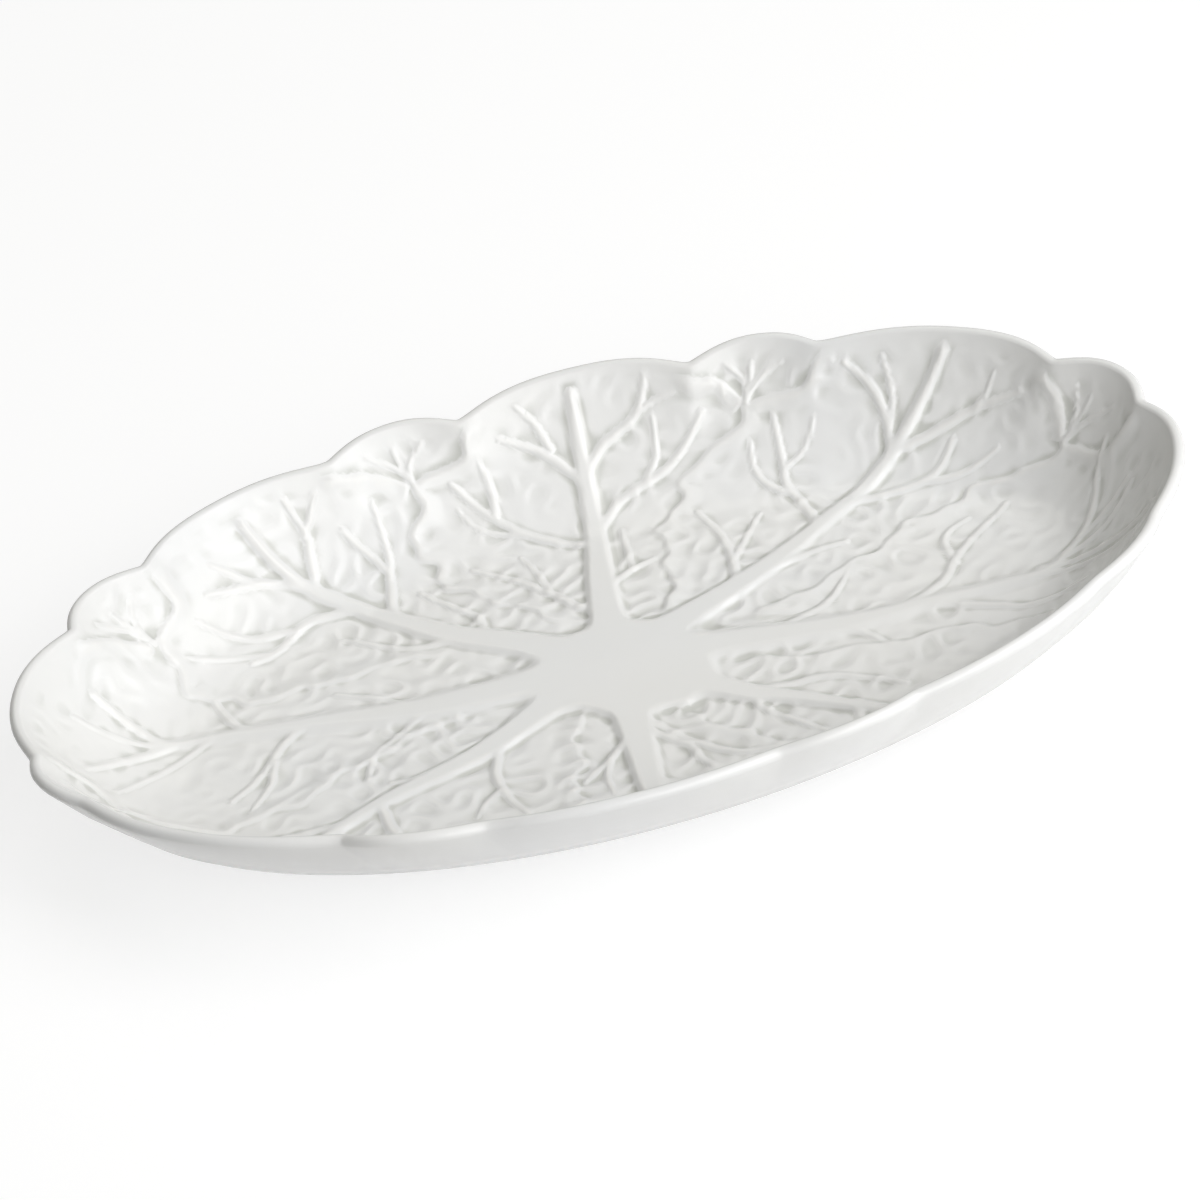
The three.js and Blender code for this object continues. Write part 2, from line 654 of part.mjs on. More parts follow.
const whiteGlaze = { color: 0xf4f4f0, roughness: 0.12, metalness: 0 };
const firedClay = { color: 0xe9e2d3, roughness: 0.85, metalness: 0 };

const platter = new THREE.Group();
for (const [name, geometry, finish] of [
  ["clay_body", clayBody(), firedClay],
  ["foot_ring", footRing(), firedClay],
  ["glaze_coat", glazeCoat(), whiteGlaze],
  ["base_glaze", baseGlaze(), whiteGlaze],
]) {
  const mesh = new THREE.Mesh(geometry, new THREE.MeshStandardMaterial(finish));
  mesh.name = name;
  platter.add(mesh);
}

export default platter;
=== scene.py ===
"""Oval fish platter in white glazed stoneware, moulded as a rosette of overlapping cabbage leaves.

Metres, +Z up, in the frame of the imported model: the origin is on the standing plane under the
middle of the oval, +X runs along its long axis and +Y along its short one, away from the camera.
A place on the oval is a pair of shares of its half length and half width, so that the lip is the
unit circle there.
"""

import json
import logging
import math
from dataclasses import dataclass, field
from enum import Enum

import bpy
import numpy as np
from mathutils import Matrix, Vector

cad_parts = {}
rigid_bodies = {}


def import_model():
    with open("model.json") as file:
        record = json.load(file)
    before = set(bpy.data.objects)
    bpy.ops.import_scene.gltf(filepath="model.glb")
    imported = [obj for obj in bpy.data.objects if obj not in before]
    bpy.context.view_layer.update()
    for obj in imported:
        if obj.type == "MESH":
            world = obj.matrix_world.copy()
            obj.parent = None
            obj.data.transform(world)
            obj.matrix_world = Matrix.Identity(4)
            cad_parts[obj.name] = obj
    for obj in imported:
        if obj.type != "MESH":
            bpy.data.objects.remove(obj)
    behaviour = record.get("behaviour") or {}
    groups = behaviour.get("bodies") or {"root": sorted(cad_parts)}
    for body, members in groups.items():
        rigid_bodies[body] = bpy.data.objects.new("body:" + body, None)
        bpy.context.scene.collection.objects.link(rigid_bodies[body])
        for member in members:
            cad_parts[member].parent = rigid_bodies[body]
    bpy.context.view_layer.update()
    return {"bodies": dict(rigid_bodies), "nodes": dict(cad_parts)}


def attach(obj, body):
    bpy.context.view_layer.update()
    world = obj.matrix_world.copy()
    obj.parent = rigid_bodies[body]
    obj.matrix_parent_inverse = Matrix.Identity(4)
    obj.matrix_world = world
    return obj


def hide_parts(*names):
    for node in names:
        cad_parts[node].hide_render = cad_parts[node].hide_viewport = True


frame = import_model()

Array = np.ndarray
Place = tuple[float, float]
Colour = tuple[float, float, float]
Socket = bpy.types.NodeSocket

LOG = logging.getLogger("platter")
MM = 0.001
BODY = "root"
HOLLOW = "hollow"


class Slot(Enum):
    """The record's material slots."""

    GLAZE = "glaze"
    BISQUE = "bisque"


class VeinSize(Enum):
    """Width and rise of a vein, as a share of a full side vein's."""

    STEM = 1.0
    FORK = 0.78
    TWIG = 0.6


def smoothstep(value: Array, start: float, end: float) -> Array:
    """Rises from 0 at start to 1 at end, level at both.

    Args:
        value: where to read the step.
        start: value where it leaves 0.
        end: value where it reaches 1, which may be below start.

    Returns:
        The step, with value's shape.
    """
    share = np.clip((value - start) / (end - start), 0, 1)
    return share * share * (3 - 2 * share)


def unit(vectors: Array) -> Array:
    """Vectors of length 1, along the last axis."""
    return vectors / np.linalg.norm(vectors, axis=-1, keepdims=True)


def on_ring(angle: Array, share: Array | float = 1.0) -> Array:
    """Places on the oval at bearings in radians and a share of its radius."""
    return np.stack([share * np.cos(angle), share * np.sin(angle)], axis=-1)


def wrapped(rings: Array) -> Array:
    """Rings with their first column once more after the last."""
    return np.concatenate([rings, rings[:, :1]], axis=1)


@dataclass(frozen=True)
class Tip:
    """A small leaf tip in the lip: the angles from its middle to its two notches, and their depths."""

    right: float = 7.5
    left: float = 7.5
    right_depth: float = 1.0
    left_depth: float = 1.0


@dataclass(frozen=True)
class Oval:
    """The plain form of the dish, before its relief, and the layout of its leaves."""

    length: float = 0.4286
    width: float = 0.2634
    well_depth: float = 0.0414
    wall_run: float = 0.052
    glaze: float = 0.8 * MM
    bond: float = 0.25 * MM
    clay_at_rim: float = 2.6 * MM
    clay_at_floor: float = 4.8 * MM
    foot_height: float = 3.6 * MM
    foot_clear: float = 9 * MM
    foot_seat: float = 7 * MM
    glaze_stop: float = 0.4 * MM
    leaf_bearings: tuple[float, ...] = (-10, 45, 87, 125, 170, 219, 270, 306)
    tips: tuple[Tip, ...] = (
        Tip(11.5, 7.5, 0.7, 1.0),
        Tip(8.0, 6.5, 1.0, 1.5),
        Tip(7.5, 7.5, 1.6, 1.0),
        Tip(7.5, 7.5, 1.0, 0.9),
        Tip(7.5, 7.5, 0.5, 0.5),
        Tip(),
        Tip(),
        Tip(7.5, 7.5, 0.4, 0.3),
    )
    notch_pull: float = 0.034
    notch_dip: float = 2.6 * MM
    notch_round: float = 0.35
    lobe_crest: float = 2.6
    tip_crest: float = 2.2
    lobe_fade: float = 0.22
    spine: float = 0.39
    slope_step: float = 1e-3
    lip_fineness: int = 8

    @property
    def lip(self) -> float:
        """Thickness of the lip over the glaze."""
        return self.clay_at_rim + 2 * (self.glaze + self.bond)

    @property
    def half_sizes(self) -> Array:
        """Half length and half width at the inner edge of the lip.

        They are half the outer sizes, less how far the half-round lip stands out: half its
        thickness, times one more than the sine of the wall's slope at the top.

        Returns:
            The two half sizes.
        """
        slope = math.atan(2 * self.well_depth / self.wall_run)
        reach = self.lip / 2 * (1 + math.sin(slope))
        return np.array([self.length, self.width]) / 2 - reach

    @property
    def floor(self) -> float:
        """Height of the well's floor over the standing plane."""
        return self.foot_height + 2 * (self.glaze + self.bond) + self.clay_at_floor

    @property
    def foot_inset(self) -> float:
        """Distance in from the lip to the middle of the foot ring."""
        return self.wall_run + self.foot_clear + self.foot_seat / 2

    @property
    def bare_band(self) -> Place:
        """Distances in from the lip to where the glaze stops outside and inside the foot ring."""
        half = self.foot_seat / 2 + self.glaze_stop
        return self.foot_inset - half, self.foot_inset + half

    def bearing(self, leaf: int) -> float:
        """Bearing of a leaf's rib in degrees, growing past a full turn."""
        turns, which = divmod(leaf, len(self.leaf_bearings))
        return self.leaf_bearings[which] + 360 * turns

    def tip_bearing(self, leaf: int) -> float:
        """Bearing of the small tip between a leaf and the next one."""
        return (self.bearing(leaf) + self.bearing(leaf + 1)) / 2

    def tip(self, leaf: int) -> Tip:
        """The small tip on a leaf's left."""
        return self.tips[leaf % len(self.tips)]

    def notch(self, angle: Array) -> Array:
        """Depth of the notches round the lip, 0 at the crest of a lobe.

        Across each lobe it is the distance from the crest to a power, with the sharp bottom of the
        notch rounded off as a hyperbola, times a depth that changes evenly from notch to notch.

        Args:
            angle: bearings in radians.

        Returns:
            The depth, where 1 is a full notch.
        """
        leaves = range(-1, len(self.leaf_bearings))
        tips = [self.tip(leaf) for leaf in leaves]
        middles = np.array([self.tip_bearing(leaf) for leaf in leaves])
        halves = np.array([(-tip.right, tip.left) for tip in tips])
        marks = (middles[:, None] + halves).ravel()
        depths = np.array([(tip.right_depth, tip.left_depth) for tip in tips]).ravel()
        degrees = marks[0] + np.mod(np.degrees(angle) - marks[0], 360)
        lobe = np.clip(np.searchsorted(marks, degrees, side="right") - 1, 0, len(marks) - 2)
        share = (degrees - marks[lobe]) / (marks[lobe + 1] - marks[lobe])
        sharp = np.abs(2 * share - 1) ** np.where(lobe % 2, self.lobe_crest, self.tip_crest)
        crest = math.hypot(1, self.notch_round)
        hollow = (crest - np.hypot(1 - sharp, self.notch_round)) / (crest - self.notch_round)
        return hollow * (depths[lobe] + (depths[lobe + 1] - depths[lobe]) * share)

    def inset(self, at: Array) -> Array:
        """Distance in from the lip: the rest of the radius, times the oval's reach at that bearing."""
        angle = np.arctan2(at[..., 1], at[..., 0])
        return (1 - np.hypot(at[..., 0], at[..., 1])) * self.reach(angle)

    def reach(self, angle: Array) -> Array:
        """Distance from the middle to the lip's tangent at a bearing.

        It is the product of the half sizes over the length of the tangent's direction there.

        Args:
            angle: bearings in radians.

        Returns:
            The distances.
        """
        half_length, half_width = self.half_sizes
        tangent = np.hypot(half_width * np.cos(angle), half_length * np.sin(angle))
        return half_length * half_width / tangent

    def at_inset(self, inset: float, angle: Array) -> Array:
        """Places on the oval at one distance in from the lip."""
        return on_ring(angle, 1 - inset / self.reach(angle))

    def face(self, at: Array) -> Array:
        """Points of the plain leaf face.

        The floor is flat, the wall is a parabola in the distance from its inner end up to the lip,
        and the notches draw the lip in and down.

        Args:
            at: places on the oval, with two values on the last axis.

        Returns:
            Points, with three values on the last axis.
        """
        share = np.hypot(at[..., 0], at[..., 1])
        angle = np.arctan2(at[..., 1], at[..., 0])
        notch = self.notch(angle) * smoothstep(share, 1 - self.lobe_fade, 1)
        climb = np.maximum(0, 1 - self.inset(at) / self.wall_run)
        plan = at * self.half_sizes * (1 - self.notch_pull * notch)[..., None]
        height = self.floor + self.well_depth * climb**2 - self.notch_dip * notch
        return np.concatenate([plan, height[..., None]], axis=-1)

    def normal(self, at: Array) -> Array:
        """The leaf face's upward normal: the cross product of its two slopes.

        Args:
            at: places on the oval.

        Returns:
            Vectors of length 1.
        """
        along = np.array([self.slope_step, 0])
        across = np.array([0, self.slope_step])
        slope = [self.face(at + step) - self.face(at - step) for step in (along, across)]
        return unit(np.cross(slope[0], slope[1]))

    def under(self, at: Array, depth: Array | float) -> Array:
        """Points at a depth under the leaf face, along its normal."""
        return self.face(at) - self.normal(at) * np.asarray(depth)[..., None]

    def clay(self, at: Array) -> Array:
        """Thickness of the clay: it grows evenly from the lip to the floor."""
        share = np.clip(self.inset(at) / self.wall_run, 0, 1)
        return self.clay_at_rim + (self.clay_at_floor - self.clay_at_rim) * share

    def columns(self, count: int) -> Array:
        """Bearings that divide the lip evenly, by inverting its length along the ellipse.

        Args:
            count: number of columns.

        Returns:
            The bearings in radians, from the +X end on.
        """
        fine = np.linspace(0, 2 * math.pi, self.lip_fineness * count + 1)
        points = on_ring(fine) * self.half_sizes
        steps = np.linalg.norm(np.diff(points, axis=0), axis=1)
        length = np.concatenate([[0], np.cumsum(steps)])
        return np.interp(np.arange(count) / count, length / length[-1], fine)

    def fan_out(self, shares: Array, outer: Array) -> Array:
        """Places in rings from a straight spine on the long axis out to an outer ring.

        The columns start evenly spaced along the spine, there and back, and run straight outwards.

        Args:
            shares: share of the way out for each ring, 0 on the spine.
            outer: places of the outer ring, counter-clockwise from the +X end.

        Returns:
            Places, as rings by columns by two.
        """
        there_and_back = np.abs(1 - 2 * np.arange(len(outer)) / len(outer))
        inner = np.stack([self.spine * (2 * there_and_back - 1), 0 * there_and_back], axis=-1)
        way = np.asarray(shares)[:, None, None]
        return (1 - way) * inner + way * outer

    def lip_rings(self, angles: Array, depth: float, count: int) -> Array:
        """Rings round the half-round lip, about a line half the lip's thickness under its edge.

        Args:
            angles: bearings of the columns.
            depth: how much less than the lip's own radius the half circle has.
            count: number of rings between the two faces.

        Returns:
            Points, as rings by columns by three.
        """
        edge = on_ring(angles)
        normal = self.normal(edge)
        middle = self.under(edge, self.lip / 2)
        ahead = np.roll(middle, -1, axis=0) - np.roll(middle, 1, axis=0)
        outward = unit(np.cross(ahead, normal))
        swing = (math.pi * np.arange(1, count + 1) / (count + 1))[:, None, None]
        return middle + (self.lip / 2 - depth) * (np.cos(swing) * normal + np.sin(swing) * outward)


@dataclass(frozen=True)
class Vein:
    """One raised vein of a leaf.

    A place is (along, across): the share of the oval's radius, and the share of the way from the
    leaf's rib to the bearing of the next small tip, above 0 on the left as seen from the hub.
    """

    size: VeinSize
    places: tuple[Place, ...]


@dataclass(frozen=True)
class LeafPlan:
    """The rib and the veins of one leaf, in its own places."""

    rib: tuple[Place, ...]
    veins: tuple[Vein, ...]
    rib_width: float = 1.0
    softness: float = 1.0


def stem(*places: Place) -> Vein:
    """A full side vein."""
    return Vein(VeinSize.STEM, places)


def fork(*places: Place) -> Vein:
    """A vein that forks off a stem."""
    return Vein(VeinSize.FORK, places)


def twig(*places: Place) -> Vein:
    """A fine vein."""
    return Vein(VeinSize.TWIG, places)


SIDE_RIM = (
    stem((0.62, -0.04), (0.72, -0.24), (0.78, -0.53), (0.82, -0.63), (0.91, -0.75)),
    fork((0.77, -0.43), (0.82, -0.48), (0.91, -0.47)),
    stem((0.81, -0.05), (0.86, -0.16), (0.90, -0.34), (0.94, -0.41), (0.99, -0.44)),
    twig((0.92, -0.39), (0.94, -0.48), (0.96, -0.60)),
    stem((0.57, -0.02), (0.68, 0.45), (0.77, 0.65), (0.88, 0.79)),
    fork((0.77, 0.63), (0.86, 0.57), (0.94, 0.58)),
    twig((0.69, 0.47), (0.75, 0.77), (0.82, 0.84)),
    stem((0.79, -0.03), (0.87, 0.16), (0.94, 0.41)),
    fork((0.88, 0.13), (0.94, 0.19), (0.98, 0.27)),
)
BACK_LEAF = LeafPlan(
    rib=((0.0, 0.0), (0.32, 0.0), (0.57, -0.03), (0.84, -0.04), (0.97, -0.05)),
    veins=(
        stem((0.33, 0.0), (0.37, -0.16), (0.42, -0.40), (0.45, -0.61)),
        fork((0.42, -0.40), (0.55, -0.28), (0.62, -0.24)),
        stem((0.25, 0.25), (0.41, 0.68), (0.54, 0.88), (0.64, 1.05)),
        fork((0.41, 0.68), (0.52, 0.62), (0.62, 0.64)),
        *SIDE_RIM,
    ),
)
FRONT_LEAF = LeafPlan(
    rib=((0.0, 0.0), (0.26, -0.06), (0.57, -0.06), (0.80, -0.05), (0.97, -0.05)),
    rib_width=1.15,
    veins=(
        stem((0.35, -0.12), (0.44, -0.38), (0.50, -0.53)),
        fork((0.43, -0.35), (0.50, -0.36), (0.58, -0.30)),
        stem((0.35, 0.12), (0.45, 0.45), (0.52, 0.47), (0.58, 0.52)),
        stem((0.30, 0.15), (0.46, 0.56), (0.56, 0.82), (0.60, 1.12)),
        *SIDE_RIM,
    ),
)
QUARTER_RIM = (
    stem((0.57, -0.08), (0.66, 0.35), (0.71, 0.55), (0.78, 0.68), (0.88, 0.83)),
    fork((0.68, 0.44), (0.71, 0.68), (0.76, 0.85), (0.83, 0.94)),
    twig((0.76, 0.63), (0.80, 0.56), (0.88, 0.56)),
    stem((0.80, -0.06), (0.88, 0.12), (0.93, 0.29), (0.97, 0.46)),
    fork((0.85, 0.04), (0.91, 0.12), (0.97, 0.25)),
    stem((0.65, -0.10), (0.75, -0.37), (0.79, -0.39), (0.85, -0.34)),
    fork((0.75, -0.37), (0.79, -0.54), (0.86, -0.63)),
    stem((0.81, -0.08), (0.87, -0.26), (0.91, -0.39), (0.95, -0.58)),
    twig((0.91, -0.37), (0.93, -0.39), (0.96, -0.38)),
)
BACK_QUARTER_LEAF = LeafPlan(
    rib=(
        (0.0, 0.0), (0.19, -0.22), (0.33, -0.24), (0.47, -0.18),
        (0.63, -0.09), (0.83, -0.06), (0.98, -0.08),
    ),
    veins=(
        stem((0.33, -0.10), (0.41, 0.34), (0.52, 0.78), (0.64, 1.16)),
        fork((0.40, 0.30), (0.52, 0.50), (0.61, 0.59)),
        stem((0.35, -0.20), (0.43, -0.36), (0.48, -0.43), (0.52, -0.53)),
        *QUARTER_RIM,
    ),
)
FRONT_QUARTER_LEAF = LeafPlan(
    rib=(
        (0.0, 0.0), (0.17, 0.10), (0.33, 0.13), (0.43, 0.04),
        (0.56, -0.09), (0.70, -0.08), (0.97, -0.05),
    ),
    veins=(
        stem((0.31, 0.13), (0.43, 0.58), (0.52, 0.89), (0.60, 1.15)),
        fork((0.49, 0.79), (0.53, 0.75), (0.59, 0.78)),
        stem((0.40, 0.05), (0.47, -0.14), (0.50, -0.30)),
        *QUARTER_RIM,
    ),
)
LONG_RIM = (
    stem((0.59, 0.04), (0.71, -0.36), (0.76, -0.46), (0.88, -0.44)),
    fork((0.73, -0.41), (0.79, -0.57), (0.91, -0.72)),
    stem((0.79, 0.04), (0.87, -0.17), (0.90, -0.24), (0.97, -0.28)),
    fork((0.90, -0.23), (0.92, -0.31), (0.97, -0.46)),
    stem((0.81, 0.05), (0.86, 0.19), (0.91, 0.51)),
    fork((0.87, 0.24), (0.91, 0.29), (0.94, 0.34)),
    stem((0.70, 0.03), (0.74, 0.29), (0.73, 0.67), (0.75, 0.83)),
    fork((0.74, 0.40), (0.80, 0.63), (0.89, 0.70)),
    twig((0.74, 0.71), (0.85, 0.98)),
)
BACK_LONG_LEAF = LeafPlan(
    rib=(
        (0.0, 0.0), (0.25, 0.05), (0.41, 0.12), (0.56, 0.05),
        (0.71, 0.01), (0.84, 0.06), (0.96, 0.03),
    ),
    veins=(
        stem((0.34, 0.08), (0.43, -0.37), (0.52, -0.41), (0.64, -0.44)),
        stem((0.38, 0.12), (0.45, 0.46), (0.54, 0.46), (0.63, 0.41)),
        *LONG_RIM,
    ),
)
FRONT_LONG_LEAF = LeafPlan(
    rib=(
        (0.0, 0.0), (0.17, -0.17), (0.27, -0.24), (0.38, -0.19),
        (0.46, -0.07), (0.70, 0.02), (0.97, 0.02),
    ),
    veins=(
        stem((0.36, -0.20), (0.43, -0.42), (0.52, -0.46), (0.62, -0.46)),
        stem((0.36, -0.18), (0.45, 0.40), (0.54, 0.46), (0.63, 0.41)),
        *LONG_RIM,
    ),
)
RIGHT_END_LEAF = LeafPlan(
    rib=(
        (0.0, 0.0), (0.14, -0.18), (0.37, -0.33), (0.47, -0.24),
        (0.56, -0.12), (0.74, -0.02), (0.80, 0.13),
    ),
    rib_width=1.2,
    softness=1.6,
    veins=(
        stem((0.30, -0.10), (0.32, 0.17), (0.38, 0.43), (0.46, 1.0)),
        stem((0.52, -0.12), (0.58, 0.23), (0.61, 0.49), (0.66, 0.72), (0.77, 0.99)),
        fork((0.61, 0.45), (0.62, 0.80), (0.65, 0.95), (0.70, 1.02)),
        stem((0.79, 0.11), (0.84, 0.30), (0.88, 0.49), (0.94, 0.72)),
        fork((0.82, 0.23), (0.87, 0.28), (0.93, 0.33)),
        fork((0.79, 0.10), (0.87, 0.16), (0.93, 0.27)),
        stem((0.75, 0.05), (0.85, -0.05), (0.92, -0.21), (0.97, -0.30)),
        fork((0.69, -0.03), (0.78, -0.06), (0.86, -0.20), (0.94, -0.36)),
        stem((0.54, -0.13), (0.68, -0.40), (0.74, -0.46), (0.84, -0.41)),
        stem((0.36, -0.28), (0.41, -0.46), (0.46, -0.65), (0.51, -0.88)),
    ),
)
LEFT_END_LEAF = LeafPlan(
    rib=(
        (0.0, 0.0), (0.27, 0.27), (0.38, 0.17), (0.51, -0.01),
        (0.62, -0.08), (0.74, -0.12), (0.82, -0.06),
    ),
    rib_width=1.2,
    softness=1.6,
    veins=(
        stem((0.36, 0.15), (0.43, -0.35), (0.52, -0.58)),
        stem((0.60, -0.07), (0.66, -0.15), (0.70, -0.36), (0.76, -0.68), (0.81, -0.77)),
        stem((0.55, -0.03), (0.59, 0.26), (0.65, 0.72), (0.71, 0.90)),
        fork((0.61, 0.51), (0.64, 0.88), (0.70, 1.14)),
        stem((0.33, 0.25), (0.40, 0.78), (0.46, 1.05), (0.51, 1.42)),
        stem((0.80, -0.08), (0.88, -0.27), (0.93, -0.36)),
        twig((0.82, -0.06), (0.88, -0.06), (0.94, -0.07)),
        stem((0.79, -0.08), (0.86, 0.18), (0.92, 0.44)),
        fork((0.72, -0.11), (0.82, 0.34), (0.89, 0.64)),
    ),
)
LEAF_PLANS = (
    RIGHT_END_LEAF,
    BACK_QUARTER_LEAF,
    BACK_LEAF,
    BACK_LONG_LEAF,
    LEFT_END_LEAF,
    FRONT_QUARTER_LEAF,
    FRONT_LEAF,
    FRONT_LONG_LEAF,
)


@dataclass(frozen=True)
class Seam:
    """A leaf's edge over the next leaf.

    It comes out of the hub at the place (along, across) and bulges over the next leaf by a skewed
    half sine, whose top lies nearer to the lip the further the skew is above 1.
    """

    along: float = 0.25
    across: float = 0.85
    bulge: float = 0.37
    skew: float = 1.6


@dataclass
class Course:
    """A line over the leaf face, which points can be measured from."""

    line: Array

    def near(self, points: Array, reach: float) -> tuple[Array, Array, Array, Array]:
        """Finds the points in a box round the line and measures them to its nearest stretch.

        Args:
            points: points of the leaf face, one to a row.
            reach: how far the box stands out from the line.

        Returns:
            The rows of the points found, their distance from the line, the share of the line's
            stretches passed at the nearest place, and the side, 1 on the left and -1 on the right.
        """
        inside = (points > self.line.min(axis=0) - reach) & (points < self.line.max(axis=0) + reach)
        rows = np.flatnonzero(inside.all(axis=1))
        offset = points[rows][:, None, :] - self.line[:-1]
        stretch = np.diff(self.line, axis=0)
        passed = np.clip((offset * stretch).sum(axis=-1) / (stretch**2).sum(axis=-1), 0, 1)
        apart = np.linalg.norm(offset - passed[..., None] * stretch, axis=-1)
        best = apart.argmin(axis=1)
        each = np.arange(len(rows))
        share = (best + passed[each, best]) / len(stretch)
        turn = stretch[best, 0] * offset[each, best, 1] - stretch[best, 1] * offset[each, best, 0]
        return rows, apart[each, best], share, np.sign(turn)


@dataclass(frozen=True)
class Relief:
    """The leaves in relief on the plain face: ribs, veins, lapped edges, tips and dented fields."""

    oval: Oval
    plans: tuple[LeafPlan, ...] = LEAF_PLANS
    seams: tuple[Seam, ...] = (
        Seam(0.25, 0.80),
        Seam(0.18, 0.60, 0.58, 1.1),
        Seam(0.25, 0.95, 0.37, 1.1),
        Seam(0.36, 0.45, 0.62, 1.1),
        Seam(),
        Seam(0.18, 1.05, 0.43, 1.1),
        Seam(0.30),
        Seam(),
    )
    pockets: tuple[float, ...] = (0.12, 0.16, 0.175, 0.14, 0.14, 0.19, 0.29, 0.17)
    hub_fillet: float = 2.8 * MM
    rib_half_at_hub: float = 7.4 * MM
    rib_half_at_tip: float = 1.4 * MM
    rib_waist: float = 1.05
    rib_rise_at_hub: float = 2.0 * MM
    rib_rise_at_tip: float = 1.35 * MM
    rib_shoulder: float = 2.0 * MM
    vein_half: float = 3.3 * MM
    vein_rise: float = 1.0 * MM
    vein_taper: float = 0.42
    tip_vein_bend: float = 0.25
    edge_parting: Place = (0.90, 1.0)
    edge_ripples: tuple[tuple[float, float, float], ...] = ((0.05, 4.0, 0.0), (0.022, 9.0, 0.23))
    edge_rise: float = 0.9 * MM
    edge_lap: float = 8.5 * MM
    edge_fade: float = 0.06
    edge_turn: float = 1.5 * MM
    right_shoulder: Place = (0.93, -0.8)
    left_shoulder: Place = (0.955, 0.55)
    notch_share: float = 0.985
    tip_veins: tuple[Place, ...] = ((0.965, 0.0), (0.975, 0.42), (0.97, -0.45))
    dent_depth_on_floor: float = 0.42 * MM
    dent_depth_on_wall: float = 0.21 * MM
    dent_foot: Place = (0.40, 0.85)
    dent_sizes: Place = (9.5 * MM, 17 * MM)
    dent_bend: float = 1.3
    dent_limit: float = 2.1
    dent_waves: int = 60
    dent_seed: int = 11
    lip_clear: Place = (0.975, 0.998)
    far: float = 14 * MM
    samples: int = 28
    edge_samples: int = 112

    def leaf_places(self, leaf: int, places: Array) -> Array:
        """Places on the oval for places of one leaf, at its own bearings.

        Args:
            leaf: number of the leaf, counter-clockwise from the +X end.
            places: pairs of along and across.

        Returns:
            Places on the oval.
        """
        along, across = np.asarray(places, float).T
        oval = self.oval
        left = oval.tip_bearing(leaf) - oval.bearing(leaf)
        right = oval.bearing(leaf) - oval.tip_bearing(leaf - 1)
        degrees = oval.bearing(leaf) + across * np.where(across > 0, left, right)
        return on_ring(np.radians(degrees), along)

    def course(self, places: Array) -> Course:
        """A smooth course over the face: a cubic from each place to the next.

        At a place between two others the cubics run along the chord from one to the other.

        Args:
            places: places on the oval, one to a row.

        Returns:
            The course.
        """
        slopes = np.gradient(places, axis=0)
        at = np.linspace(0, len(places) - 1, self.samples)
        left = np.clip(at.astype(int), 0, len(places) - 2)
        t = (at - left)[:, None]
        start, end = places[left], places[left + 1]
        bend = (2 * t**3 - 3 * t**2) * (start - end)
        bend = bend + (t**3 - 2 * t**2 + t) * slopes[left]
        bend = bend + (t**3 - t**2) * slopes[left + 1]
        return Course(self.oval.face(start + bend))

    def ribs(self, points: Array, share: Array) -> Array:
        """Height of the main ribs and the hub where they run together.

        Each rib is a flat-topped band that narrows outwards. The bands' distances are joined by a
        soft minimum, the logarithm of a sum of exponentials, which fillets the corners at the hub.

        Args:
            points: points of the plain face.
            share: share of the oval's radius at each of them.

        Returns:
            Heights, with the share of the full height last on a second axis.
        """
        x, y = (points[:, :2] / self.oval.half_sizes).T
        angle = np.arctan2(y, x)
        past_hub = (share - self.hub_share(angle)) * self.oval.reach(angle)
        total = np.exp(-np.maximum(past_hub, -self.far) / self.hub_fillet)
        for leaf, plan in enumerate(self.plans):
            course = self.course(self.leaf_places(leaf, plan.rib))
            rows, apart, passed, _ = course.near(points, self.far + self.rib_half_at_hub)
            narrowing = (1 - passed) ** self.rib_waist
            at_hub = plan.rib_width * self.rib_half_at_hub
            half = self.rib_half_at_tip + (at_hub - self.rib_half_at_tip) * narrowing
            total[rows] += np.exp(-(apart - half) / (plan.softness * self.hub_fillet))
        outside = -self.hub_fillet * np.log(total)
        full = smoothstep(outside, self.rib_shoulder, -self.rib_shoulder)
        rise = self.rib_rise_at_hub + (self.rib_rise_at_tip - self.rib_rise_at_hub) * share
        return np.stack([full * rise, full], axis=-1)

    def hub_share(self, angle: Array) -> Array:
        """How far out the hub reaches: evenly from one pocket between two ribs to the next."""
        tips = [self.oval.tip_bearing(leaf) for leaf in range(len(self.plans))]
        return np.interp(np.degrees(angle), tips, self.pockets, period=360)

    def vein_courses(self) -> list[tuple[Course, VeinSize]]:
        """Every side vein and tip vein of the eight leaves.

        Returns:
            Each vein's course and its size.
        """
        found = [
            (self.course(self.leaf_places(leaf, vein.places)), vein.size)
            for leaf, plan in enumerate(self.plans)
            for vein in plan.veins
        ]
        root = self.edge_parting[0]
        for leaf in range(len(self.plans)):
            for along, swing in self.tip_veins:
                middle = ((root + along) / 2, self.tip_vein_bend * swing)
                places = [self.tip_place(leaf, *at) for at in ((root, 0), middle, (along, swing))]
                found.append((self.course(np.stack(places)), VeinSize.TWIG))
        return found

    def tip_place(self, leaf: int, along: float, swing: float) -> Array:
        """A place on the small tip after a leaf.

        Args:
            leaf: number of the leaf.
            along: share of the oval's radius.
            swing: share of the angle to the tip's left notch, or below 0 to its right one.

        Returns:
            The place on the oval.
        """
        tip = self.oval.tip(leaf)
        half = tip.left if swing > 0 else tip.right
        angle = math.radians(self.oval.tip_bearing(leaf) + swing * half)
        return along * np.array([math.cos(angle), math.sin(angle)])

